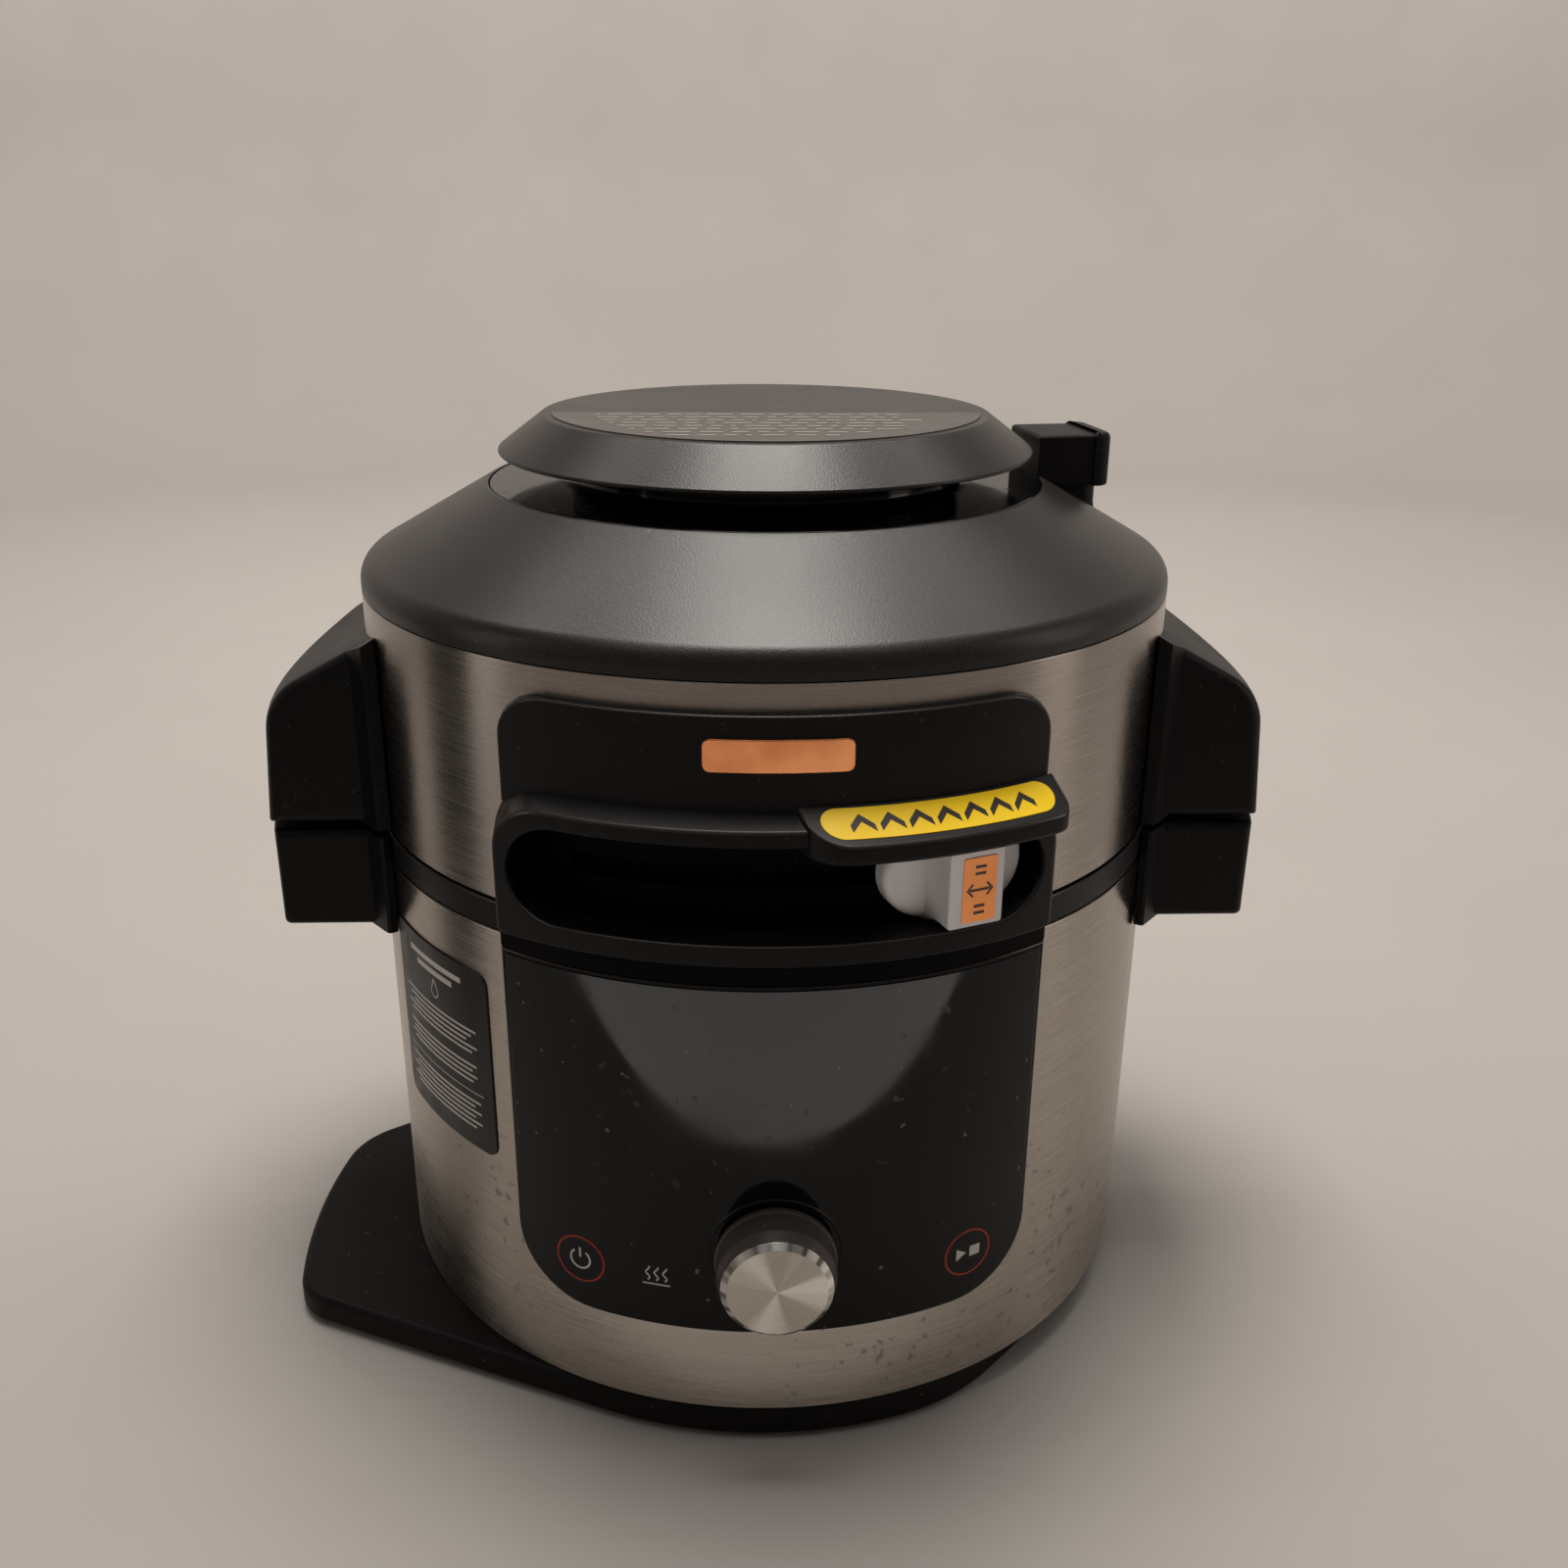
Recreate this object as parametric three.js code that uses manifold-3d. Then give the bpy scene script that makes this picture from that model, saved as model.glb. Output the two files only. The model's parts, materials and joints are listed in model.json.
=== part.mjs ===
// Electric pressure cooker with a hinged lid, built as separate solids.
// Millimetres, +Z up. The origin is on the body's axis at floor level and the front faces -Y.
// An azimuth is measured about Z from the front, positive towards +X.
import * as THREE from 'three';
import { mergeVertices } from 'three/addons/utils/BufferGeometryUtils.js';
import Module from 'manifold-3d';

const wasm = await Module();
wasm.setup();

// ---- Driving dimensions -------------------------------------------------------------------

const GAP = 0.3;                  // clearance between neighbouring solids
const TURNED_GAP = 0.8;           // clearance to a faceted round that is turned out of step
const ROUND = 48;                 // sides of a large round
const MID_ROUND = 32;             // sides of a round inside the shells
const SMALL_ROUND = 24;           // sides of a small round

const HEIGHT = 360;               // whole cooker, floor to cap
const BODY_R = 159;               // steel base drum, outside
const LID_R = 158;                // steel lid band, outside
const SHEET = 0.8;                // steel sheet thickness
const PLASTIC = 3;                // moulded wall thickness

const FOOT_H = 2.5;
const PLATE_TOP = 13.7;
const DRUM_BOTTOM = 14;
const DRUM_TOP = 198;
const RIM_TOP = 209.2;
const LID_BOTTOM = 210.2;
const BAND_TOP = 298;
const CONE_EDGE = { r: 153.4, z: 308.8 };   // where the lid's cone meets its rounded shoulder
const CONE_TOP = 334;
const CONE_TOP_R = 109.2;
const CAP_BOTTOM = 345.4;
const CAP_TOP = HEIGHT;
const CAP_RIM_R = 103.6;
const CAP_TOP_R = 86;

const HALF_WIDTH = 200;           // side handles and base lobe, from the axis
const HALF_DEPTH = 180;           // dial face in front and condensation cup behind, from the axis

const POT_R = 118.5;
const POT_FLOOR = 53;
const WELL_R = 127;
const HOUSING_R = BODY_R - SHEET - GAP - 0.2;

const SLOT_BOTTOM = 213.3;
const SLOT_TOP = 247.2;
const SLOT_MID = (SLOT_BOTTOM + SLOT_TOP) / 2;
const SLOT_HALF = 89;
const FRAME_R = 170;
const PANEL_R = 162;

const SLIDER_AZ = 22;             // rest azimuth of the mode slider
const TAB_AZ = 18.5;              // azimuth of the lift tab
const TAB_SPAN = 29.8;            // angle that the lift tab covers
const HINGE_AZ = TAB_AZ - 180;    // the hinge stands opposite the lift tab
const HINGE_R = 168;
const HINGE_Z = 213;
const KNUCKLE_R = 8;

const DIAL_Z = 85;
const DIAL_R = 21.9;
const DIAL_CAP_R = 19.8;
const DIAL_SEAT = 173.4;          // front of the knob's barrel, where its cap sits
const VENT_AZ = 98.5;             // azimuth of the steam vent

// ---- Materials ----------------------------------------------------------------------------

const LOOKS = {
  matteBlack: { color: 0x1b1a1a, roughness: 0.62, metalness: 0 },
  charcoal: { color: 0x3a3634, roughness: 0.55, metalness: 0.1 },
  glossBlack: { color: 0x0b0b0c, roughness: 0.08, metalness: 0 },
  steel: { color: 0xb4aca2, roughness: 0.3, metalness: 1 },
  polished: { color: 0xd8d6d2, roughness: 0.18, metalness: 1 },
  aluminium: { color: 0x9c9c9a, roughness: 0.45, metalness: 1 },
  potCoating: { color: 0x2c2c2e, roughness: 0.5, metalness: 0.2 },
  silverPlastic: { color: 0xaaa5a3, roughness: 0.4, metalness: 0.3 },
  rubber: { color: 0x232323, roughness: 0.9, metalness: 0 },
  silicone: { color: 0xcfcac2, roughness: 0.6, metalness: 0 },
  board: { color: 0x1f5a34, roughness: 0.6, metalness: 0 },
  yellow: { color: 0xfad714, roughness: 0.45, metalness: 0 },
  orange: { color: 0xe18c46, roughness: 0.5, metalness: 0 },
  copper: { color: 0xc88c5a, roughness: 0.3, metalness: 1 },
  labelBlack: { color: 0x232323, roughness: 0.5, metalness: 0 },
  heater: { color: 0x4a4a48, roughness: 0.6, metalness: 0.8 },
};

// ---- Geometry helpers -----------------------------------------------------------------------

const radians = THREE.MathUtils.degToRad;

function weld(geometry) {
  const bare = geometry.clone();
  bare.deleteAttribute('normal');
  bare.deleteAttribute('uv');
  const merged = mergeVertices(bare, 1e-4);
  const index = merged.getIndex().array;
  const kept = [];
  for (let i = 0; i < index.length; i += 3) {
    const [a, b, c] = [index[i], index[i + 1], index[i + 2]];
    if (a !== b && b !== c && c !== a) kept.push(a, b, c);
  }
  merged.setIndex(kept);
  return merged;
}

function signedVolume(geometry) {
  const position = geometry.getAttribute('position');
  const index = geometry.getIndex().array;
  const corners = [new THREE.Vector3(), new THREE.Vector3(), new THREE.Vector3()];
  let volume = 0;
  for (let i = 0; i < index.length; i += 3) {
    corners.forEach((corner, k) => corner.fromBufferAttribute(position, index[i + k]));
    volume += corners[0].dot(corners[1].clone().cross(corners[2]));
  }
  return volume / 6;
}

function outward(geometry) {
  const welded = weld(geometry);
  if (signedVolume(welded) < 0) {
    const index = welded.getIndex().array;
    for (let i = 0; i < index.length; i += 3) {
      [index[i + 1], index[i + 2]] = [index[i + 2], index[i + 1]];
    }
  }
  return welded;
}

function solid(geometry) {
  const closed = outward(geometry);
  return new wasm.Manifold(new wasm.Mesh({
    numProp: 3,
    vertProperties: new Float32Array(closed.getAttribute('position').array),
    triVerts: new Uint32Array(closed.getIndex().array),
  }));
}

function geometryOf(manifold) {
  const mesh = manifold.getMesh();
  const geometry = new THREE.BufferGeometry();
  geometry.setAttribute('position', new THREE.BufferAttribute(mesh.vertProperties, 3));
  geometry.setIndex(new THREE.BufferAttribute(mesh.triVerts, 1));
  return geometry;
}

// Solid of revolution about Z from [radius, z] points; the outline is closed if it leaves the axis.
function revolve(outline, sides = ROUND) {
  const points = outline.map(([r, z]) => new THREE.Vector2(r, z));
  const onAxis = outline[0][0] === 0 && outline[outline.length - 1][0] === 0;
  if (!onAxis) points.push(points[0].clone());
  return new THREE.LatheGeometry(points, sides).rotateX(Math.PI / 2);
}

function tube(inner, outer, bottom, top, sides = ROUND) {
  return revolve([[inner, bottom], [outer, bottom], [outer, top], [inner, top]], sides);
}

function disc(radius, bottom, top, sides = SMALL_ROUND) {
  return revolve([[0, bottom], [radius, bottom], [radius, top], [0, top]], sides);
}

function roundedRect(width, height, radius, centreX = 0, centreY = 0) {
  const [w, h] = [width / 2 - radius, height / 2 - radius];
  const shape = new THREE.Shape();
  shape.absarc(centreX + w, centreY + h, radius, 0, Math.PI / 2);
  shape.absarc(centreX - w, centreY + h, radius, Math.PI / 2, Math.PI);
  shape.absarc(centreX - w, centreY - h, radius, Math.PI, 1.5 * Math.PI);
  shape.absarc(centreX + w, centreY - h, radius, 1.5 * Math.PI, 2 * Math.PI);
  return shape;
}

function polygon(points) {
  return new THREE.Shape(points.map(([x, y]) => new THREE.Vector2(x, y)));
}

// Upright prism: the shape lies in XY and runs from bottom to top.
function upright(shape, bottom, top, curveSegments = 3) {
  const options = { depth: top - bottom, bevelEnabled: false, curveSegments };
  return new THREE.ExtrudeGeometry(shape, options).translate(0, 0, bottom);
}

// Prism whose shape lies in XZ, running along Y from yLow to yHigh.
function facing(shape, yLow, yHigh, curveSegments = 3) {
  const options = { depth: yHigh - yLow, bevelEnabled: false, curveSegments };
  return new THREE.ExtrudeGeometry(shape, options).rotateX(Math.PI / 2).translate(0, yHigh, 0);
}

// Prism whose shape lies in the (-Y, Z) plane, running along X, centred on x = 0.
function sideways(shape, width, curveSegments = 3) {
  const options = { depth: width, bevelEnabled: false, curveSegments };
  const geometry = new THREE.ExtrudeGeometry(shape, options).translate(0, 0, -width / 2);
  const axes = new THREE.Matrix4().makeBasis(
    new THREE.Vector3(0, -1, 0), new THREE.Vector3(0, 0, 1), new THREE.Vector3(-1, 0, 0));
  return geometry.applyMatrix4(axes);
}

// Cylinder along X through the point [outward distance, z] in front of the axis.
function crossPin(radius, width, distance, z, sides = SMALL_ROUND) {
  return new THREE.CylinderGeometry(radius, radius, width, sides)
    .rotateZ(Math.PI / 2).translate(0, -distance, z);
}

// Cylinder along Y at the given x and z.
function frontPin(radius, yLow, yHigh, x, z, sides = SMALL_ROUND) {
  return new THREE.CylinderGeometry(radius, radius, yHigh - yLow, sides)
    .translate(x, (yLow + yHigh) / 2, z);
}

// Part of a round wall that a front view outline covers, between two heights if they are given.
function wallPatch(inner, outer, shape, bottom = 0, top = HEIGHT) {
  const front = solid(facing(shape, -(outer + 20), 0));
  return solid(tube(inner, outer, bottom, top)).intersect(front);
}

function at(azimuth, ...meshes) {
  const group = new THREE.Group();
  group.rotation.z = radians(azimuth);
  group.add(...meshes);
  return group;
}

function piece(name, look, shape) {
  const geometry = shape instanceof THREE.BufferGeometry ? outward(shape) : geometryOf(shape);
  const mesh = new THREE.Mesh(geometry, new THREE.MeshStandardMaterial(LOOKS[look]));
  mesh.name = name;
  return mesh;
}

// ---- Base: plate, feet and screws -----------------------------------------------------------

const PLATE_FRONT_R = 160;
const PLATE_REAR_R = 151.8;
const PLATE_FLAT_AZ = 45.8;       // outward azimuth of the plate's straight edge on the right
const PLATE_EASE = 6.4;           // degrees that the rounding takes on each side of its corner
const LOBE_FRONT_AZ = -24.1;      // outward azimuth of the lobe's straight front edge
const LOBE_FRONT_CORNER = { x: -174.6, y: -73.1, r: 22 };
const LOBE_REAR_CORNER = { x: -161.5, y: 1, r: 35 };
const LOBE_REAR_ANGLE = radians(122);
const LOBE_BOW = radians(10);     // turn of the lobe's bowed side between its middle and its ends
const LOBE_BOW_CONTROL = [-203.6, -34.9];

function plateAngle(azimuth) {
  return radians(azimuth - 90);
}

function platePoint(azimuth, reach) {
  return [reach * Math.cos(plateAngle(azimuth)), reach * Math.sin(plateAngle(azimuth))];
}

function plateOutline() {
  const chordHalf = THREE.MathUtils.radToDeg(Math.acos(PLATE_REAR_R / PLATE_FRONT_R));
  const corner = PLATE_FLAT_AZ - chordHalf;
  const eased = PLATE_REAR_R / Math.cos(radians(chordHalf - PLATE_EASE));
  const shape = new THREE.Shape();
  shape.absarc(0, 0, PLATE_FRONT_R, plateAngle(LOBE_FRONT_AZ), plateAngle(corner - PLATE_EASE));
  shape.quadraticCurveTo(...platePoint(corner, PLATE_FRONT_R),
    ...platePoint(corner + PLATE_EASE, eased));
  shape.absarc(0, 0, PLATE_REAR_R, plateAngle(PLATE_FLAT_AZ), radians(158));
  const { x: rearX, y: rearY, r: rearR } = LOBE_REAR_CORNER;
  shape.absarc(rearX, rearY, rearR, LOBE_REAR_ANGLE, Math.PI - LOBE_BOW);
  const { x, y, r } = LOBE_FRONT_CORNER;
  const start = Math.PI + LOBE_BOW;
  shape.quadraticCurveTo(...LOBE_BOW_CONTROL, x + r * Math.cos(start), y + r * Math.sin(start));
  shape.absarc(x, y, r, start, plateAngle(LOBE_FRONT_AZ) + 2 * Math.PI);
  shape.closePath();
  return shape;
}

const FOOT_PLACES = {
  foot_front_right: [85, -95],
  foot_front_left: [-85, -95],
  foot_rear_right: [85, 95],
  foot_rear_left: [-85, 95],
  foot_side: [-172, -38],
};
const FOOT_R = 11;
const SCREW_PLACES = [[0, -118], [105, 60], [-105, 60]];
const SCREW_R = 4;

function basePlate() {
  let plate = solid(upright(plateOutline(), FOOT_H, PLATE_TOP, 8));
  for (const [x, y] of Object.values(FOOT_PLACES)) {
    plate = plate.subtract(solid(disc(FOOT_R + GAP, 0, FOOT_H + 1.5 + GAP, 16).translate(x, y, 0)));
  }
  for (const [x, y] of SCREW_PLACES) {
    plate = plate.subtract(solid(disc(SCREW_R + GAP, 0, PLATE_TOP + 1, 12).translate(x, y, 0)));
  }
  return piece('base_plate', 'matteBlack', plate);
}

function feet() {
  return Object.entries(FOOT_PLACES).map(([name, [x, y]]) => {
    const foot = revolve([[0, 0], [FOOT_R - 1, 0], [FOOT_R, 1], [FOOT_R, FOOT_H + 1.5],
      [0, FOOT_H + 1.5]], 16);
    return piece(name, 'rubber', foot.translate(x, y, 0));
  });
}

function baseScrews() {
  return SCREW_PLACES.map(([x, y], i) => {
    const screw = revolve([[0, 4], [SCREW_R, 4], [SCREW_R, 7], [1.8, 7.5], [1.8, PLATE_TOP],
      [0, PLATE_TOP]], 12);
    return piece(`base_screw_${i + 1}`, 'polished', screw.translate(x, y, 0));
  });
}

// ---- Base: drum, housing, well and pot --------------------------------------------------------

const SHAFT_HOLE_R = 4.5;

function shaftHole() {
  return solid(frontPin(SHAFT_HOLE_R, -(BODY_R + 10), -130, 0, DIAL_Z, 20));
}

function baseWrap() {
  const drum = solid(tube(BODY_R - SHEET, BODY_R, DRUM_BOTTOM, DRUM_TOP));
  return piece('base_wrap', 'steel', drum.subtract(shaftHole()));
}

function innerHousing() {
  const inner = HOUSING_R - PLASTIC;
  const shell = revolve([[20, DRUM_BOTTOM], [HOUSING_R, DRUM_BOTTOM], [HOUSING_R, DRUM_TOP - 0.2],
    [inner, DRUM_TOP - 0.2], [inner, DRUM_BOTTOM + PLASTIC], [20, DRUM_BOTTOM + PLASTIC]]);
  return piece('inner_housing', 'matteBlack', solid(shell).subtract(shaftHole()));
}

const CONTROL_HALF = 95;
const CONTROL_TOP = 193.5;
const CONTROL_BOTTOM = 50.5;
const CONTROL_CORNER = 28;

function controlOutline() {
  const [h, r] = [CONTROL_HALF, CONTROL_CORNER];
  const shape = new THREE.Shape();
  shape.moveTo(h, CONTROL_TOP);
  shape.lineTo(-h, CONTROL_TOP);
  shape.absarc(-h + r, CONTROL_BOTTOM + r, r, Math.PI, 1.5 * Math.PI);
  shape.absarc(h - r, CONTROL_BOTTOM + r, r, 1.5 * Math.PI, 2 * Math.PI);
  return shape;
}

// Black band that closes the drum; in front it comes down to meet the control panel.
function baseRim() {
  const band = solid(revolve([[WELL_R + 1, DRUM_TOP + GAP], [BODY_R - 0.4, DRUM_TOP + GAP],
    [BODY_R - 0.4, RIM_TOP - 0.8], [BODY_R - 1.2, RIM_TOP], [134, RIM_TOP], [134, RIM_TOP - 2.9],
    [WELL_R + 1, RIM_TOP - 2.9]]));
  const apronTop = 202.5;
  const apronFront = BODY_R + 1.6;
  const half = CONTROL_HALF;
  const outline = polygon([[-half, 0], [half, 0], [half, HEIGHT], [-half, HEIGHT]]);
  const apron = wallPatch(BODY_R + GAP, apronFront, outline, CONTROL_TOP + GAP, apronTop);
  const root = wallPatch(BODY_R - 2, apronFront, outline, DRUM_TOP + GAP, apronTop);
  return piece('base_rim', 'matteBlack', band.add(apron).add(root));
}

function controlPanel() {
  const panel = wallPatch(BODY_R + GAP, BODY_R + 1.8, controlOutline());
  return piece('control_panel', 'glossBlack', panel.subtract(shaftHole()));
}

function linerWell() {
  return piece('liner_well', 'aluminium', revolve([[112, 36], [WELL_R, 36], [WELL_R, DRUM_TOP - 0.2],
    [WELL_R + 6, DRUM_TOP - 0.2], [WELL_R + 6, DRUM_TOP - 1.7], [WELL_R + 1.5, DRUM_TOP - 1.7],
    [WELL_R + 1.5, 34.5], [112, 34.5]], MID_ROUND));
}

function cookingPot() {
  const wall = 1.6;
  const bend = 22;
  const steps = 3;
  const corner = (radius) => Array.from({ length: steps + 1 }, (_, i) => {
    const angle = (i / steps) * Math.PI / 2;
    return [POT_R - bend + radius * Math.sin(angle), POT_FLOOR + bend - radius * Math.cos(angle)];
  });
  const flange = RIM_TOP - 2.6;
  return piece('cooking_pot', 'potCoating', revolve([[0, POT_FLOOR], ...corner(bend), [POT_R, flange],
    [133.4, flange], [133.4, RIM_TOP + 0.3], [POT_R - wall, RIM_TOP + 0.3],
    ...corner(bend - wall).reverse(), [0, POT_FLOOR + wall]], MID_ROUND));
}

// Hot plate under the pot, with a cup in its middle that holds the sensor's spring.
function heaterPlate() {
  const top = POT_FLOOR - 0.5;
  return piece('heater_plate', 'heater', revolve([[6, 30.9], [14.5, 30.9], [14.5, 36.3],
    [120, 36.3], [120, 38.5], [104, 38.5], [104, 47], [98, top], [13, top], [13, 32.3],
    [6, 32.3]], MID_ROUND));
}

function sensorButton() {
  return piece('sensor_button', 'aluminium', revolve([[0, 36], [5, 36], [5, 45], [11, 45],
    [11, POT_FLOOR - 0.4], [0, POT_FLOOR - 0.4]], 24));
}

// Coil spring that holds the sensor up against the pot.
function sensorSpring() {
  const turns = 4;
  class Helix extends THREE.Curve {
    getPoint(t, target = new THREE.Vector3()) {
      const angle = t * turns * 2 * Math.PI;
      return target.set(7.5 * Math.cos(angle), 7.5 * Math.sin(angle), 33.6 + 9.6 * t);
    }
  }
  const wire = new THREE.Shape();
  wire.absarc(0, 0, 0.7, 0, 2 * Math.PI);
  const options = { steps: 40, curveSegments: 2, bevelEnabled: false, extrudePath: new Helix() };
  return piece('sensor_spring', 'polished', new THREE.ExtrudeGeometry(wire, options));
}

function controlBoard() {
  const board = solid(facing(roundedRect(76, 66, 2, 0, DIAL_Z), -145.6, -144));
  return piece('control_board', 'board', board.subtract(solid(frontPin(6, -150, -140, 0, DIAL_Z, 20))));
}

function dialEncoder() {
  const block = solid(facing(roundedRect(16, 16, 2, 0, DIAL_Z), -153, -145.6 - GAP, 3));
  return piece('dial_encoder', 'polished',
    block.subtract(solid(frontPin(3.4, -160, -140, 0, DIAL_Z, 20))));
}

function powerBoard() {
  return piece('power_board', 'board', upright(roundedRect(110, 60, 3, 0, 78), 17.3, 18.9));
}

// ---- Base: handles, hinge, cup and labels -----------------------------------------------------

const HANDLE_HALF_DEPTH = 61.3;
const HANDLE_FACE_X = 192;        // outward reach of a handle at its front and back faces
const HANDLE_FOLD_X = 154;        // where those faces fold out into a short wing
const HANDLE_WING = { x: 150.7, reach: 9.4 };
const HANDLE_BOTTOM = 168;
const HANDLE_SPLIT_LOW = 208.6;
const HANDLE_SPLIT_HIGH = 211.8;

// Plan of a handle on the right: flat faces that fold out into wings, and a bowed outer face.
function handlePlan(inset) {
  const corner = 6;
  const [x, y] = [HANDLE_FACE_X - inset, HANDLE_HALF_DEPTH - inset];
  const wing = y + HANDLE_WING.reach;
  const root = [0.9 * HANDLE_WING.x, 0.9 * wing];
  const shape = new THREE.Shape();
  shape.moveTo(root[0], -root[1]);
  shape.lineTo(HANDLE_WING.x, -wing);
  shape.lineTo(HANDLE_FOLD_X, -y);
  shape.lineTo(x - corner, -y);
  shape.quadraticCurveTo(x, -y, x + 0.6, -y + corner);
  shape.quadraticCurveTo(2 * (HALF_WIDTH - inset) - x - 0.6, 0, x + 0.6, y - corner);
  shape.quadraticCurveTo(x, y, x - corner, y);
  shape.lineTo(HANDLE_FOLD_X, y);
  shape.lineTo(HANDLE_WING.x, wing);
  shape.lineTo(root[0], root[1]);
  return shape;
}

// Front outline of the lid's half of a handle: leaning side, rounded shoulder and sloped top.
function handleSlope() {
  const shape = new THREE.Shape();
  shape.moveTo(100, HANDLE_SPLIT_HIGH);
  shape.lineTo(HALF_WIDTH, HANDLE_SPLIT_HIGH);
  shape.lineTo(HALF_WIDTH - 2.4, 244.2);
  shape.quadraticCurveTo(HALF_WIDTH - 3.3, 257.2, HALF_WIDTH - 14.7, 263.5);
  shape.lineTo(150, 283.2);
  shape.lineTo(100, 283.2);
  return shape;
}

function handleBase(name, azimuth) {
  const outer = solid(upright(handlePlan(1.2), HANDLE_BOTTOM, HANDLE_SPLIT_LOW, 4));
  const drum = solid(disc(BODY_R + GAP, 100, 300, ROUND));
  const roof = HANDLE_SPLIT_LOW - PLASTIC;
  const hollow = solid(upright(roundedRect(24, 96, 5, 177, 0), 160, roof));
  return at(azimuth, piece(name, 'matteBlack', outer.subtract(drum).subtract(hollow)));
}

function handleLid(name, azimuth) {
  const block = solid(upright(handlePlan(0), HANDLE_SPLIT_HIGH, 296, 4));
  const slope = solid(facing(handleSlope(), -80, 80, 5));
  const band = solid(disc(LID_R + GAP, 100, 340, ROUND));
  return at(azimuth, piece(name, 'matteBlack', block.intersect(slope).subtract(band)));
}

const CHEEK_OUTER = 40;
const CHEEK_INNER = 22;
const PIN_R = 3.5;

// Everything on the hinge is drawn in front of the axis and then turned to the hinge's azimuth.
function hingeBracket() {
  const shelf = HINGE_Z - 12;
  const profile = polygon([[150, 172], [166, 166], [174, 176], [174, shelf], [150, shelf]]);
  let bracket = solid(sideways(profile, 2 * CHEEK_OUTER));
  const cheekWidth = CHEEK_OUTER - CHEEK_INNER;
  for (const side of [-1, 1]) {
    const centre = side * (CHEEK_INNER + cheekWidth / 2);
    const web = sideways(polygon([[161.5, HINGE_Z - 20], [174, HINGE_Z - 20],
      [HINGE_R + KNUCKLE_R, HINGE_Z], [HINGE_R - 6, HINGE_Z]]), cheekWidth);
    const knuckle = crossPin(KNUCKLE_R, cheekWidth, HINGE_R, HINGE_Z);
    bracket = bracket.add(solid(web.translate(centre, 0, 0)));
    bracket = bracket.add(solid(knuckle.translate(centre, 0, 0)));
  }
  const bore = solid(crossPin(PIN_R + GAP, 2 * CHEEK_OUTER + 10, HINGE_R, HINGE_Z, 24));
  const drum = solid(disc(BODY_R + TURNED_GAP, 100, 300, ROUND));
  return piece('hinge_bracket', 'matteBlack', bracket.subtract(bore).subtract(drum));
}

function hingePin() {
  return piece('hinge_pin', 'polished', crossPin(PIN_R, 2 * CHEEK_OUTER - 2, HINGE_R, HINGE_Z, 24));
}

function hingeArm() {
  const width = 2 * (CHEEK_INNER - 0.6);
  const plate = solid(sideways(polygon([[150, HINGE_Z], [HINGE_R, HINGE_Z + 2], [HINGE_R, HINGE_Z + 12],
    [164, 262], [150, 268]]), width));
  const knuckle = solid(crossPin(KNUCKLE_R - 0.2, width, HINGE_R, HINGE_Z));
  const bore = solid(crossPin(PIN_R + GAP, width + 10, HINGE_R, HINGE_Z, 24));
  const band = solid(disc(LID_R + TURNED_GAP, 100, 340, ROUND));
  return piece('hinge_arm', 'matteBlack', plate.add(knuckle).subtract(bore).subtract(band));
}

const CUP_HALF = 29;
const CUP_BOTTOM = 88;
const CUP_TOP = 150;
const CUP_WALL = 1.8;

// Open-topped cup behind the drum that catches condensed water.
function condensationCup() {
  const outline = roundedRect(2 * CUP_HALF, 40, 7, 0, HALF_DEPTH - 20);
  const inside = roundedRect(2 * (CUP_HALF - CUP_WALL), 40, 6, 0, HALF_DEPTH - 20 - CUP_WALL);
  const drumR = BODY_R + 3.4;
  const outer = solid(upright(outline, CUP_BOTTOM, CUP_TOP))
    .subtract(solid(disc(drumR, 0, 300, ROUND)));
  const inner = solid(upright(inside, CUP_BOTTOM + CUP_WALL, CUP_TOP + 5))
    .subtract(solid(disc(drumR + CUP_WALL, 0, 300, ROUND)));
  return piece('condensation_cup', 'glossBlack', outer.subtract(inner));
}

// Bracket with a side rail at each edge of the cup.
function collectorBracket() {
  const middle = (CUP_TOP + CUP_BOTTOM) / 2 + 6;
  const outline = roundedRect(2 * CUP_HALF + 8, CUP_TOP - CUP_BOTTOM + 22, 6, 0, middle);
  const back = wallPatch(BODY_R + GAP, BODY_R + 2.8, outline);
  const rail = solid(facing(roundedRect(3.2, 66, 1, CUP_HALF + 2.2, 120), -(BODY_R + 8), -148, 3));
  const drum = solid(disc(BODY_R + GAP, 0, 300, ROUND));
  const rails = rail.add(rail.mirror([1, 0, 0])).subtract(drum);
  return at(180, piece('collector_bracket', 'matteBlack', back.add(rails)));
}

const CORD_Z = 38;                // height at which the mains cord leaves the drum

function cordGland() {
  const flange = wallPatch(BODY_R + GAP, BODY_R + 3, roundedRect(34, 26, 5, 0, CORD_Z));
  const sleeve = solid(frontPin(8.5, -(BODY_R + 9), -(BODY_R + 1.5), 0, CORD_Z));
  const hole = solid(frontPin(4.2, -(BODY_R + 20), -150, 0, CORD_Z, 20));
  return at(180, piece('cord_gland', 'rubber', flange.add(sleeve).subtract(hole)));
}

const REMINDER_AZ = -52.1;
const REMINDER_HALF = 33.3;       // half the label's width across the drum

function reminderLabel() {
  const outline = roundedRect(2 * REMINDER_HALF, 77, 5, 0, 139.5);
  return at(REMINDER_AZ, piece('reminder_label', 'labelBlack',
    wallPatch(BODY_R + TURNED_GAP, BODY_R + 1.2, outline)));
}

// ---- Lid: shells ------------------------------------------------------------------------------

const TRACK_HALF = 90.2;
const TRACK_BOTTOM = 212.2;
const TRACK_TOP = 248.4;

function pill(half, bottom, top) {
  const radius = (top - bottom) / 2 - 0.01;
  return roundedRect(2 * half, top - bottom, radius, 0, (top + bottom) / 2);
}

function trackWindow() {
  return solid(facing(pill(TRACK_HALF + GAP, TRACK_BOTTOM - GAP, TRACK_TOP + GAP), -200, -100));
}

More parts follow.
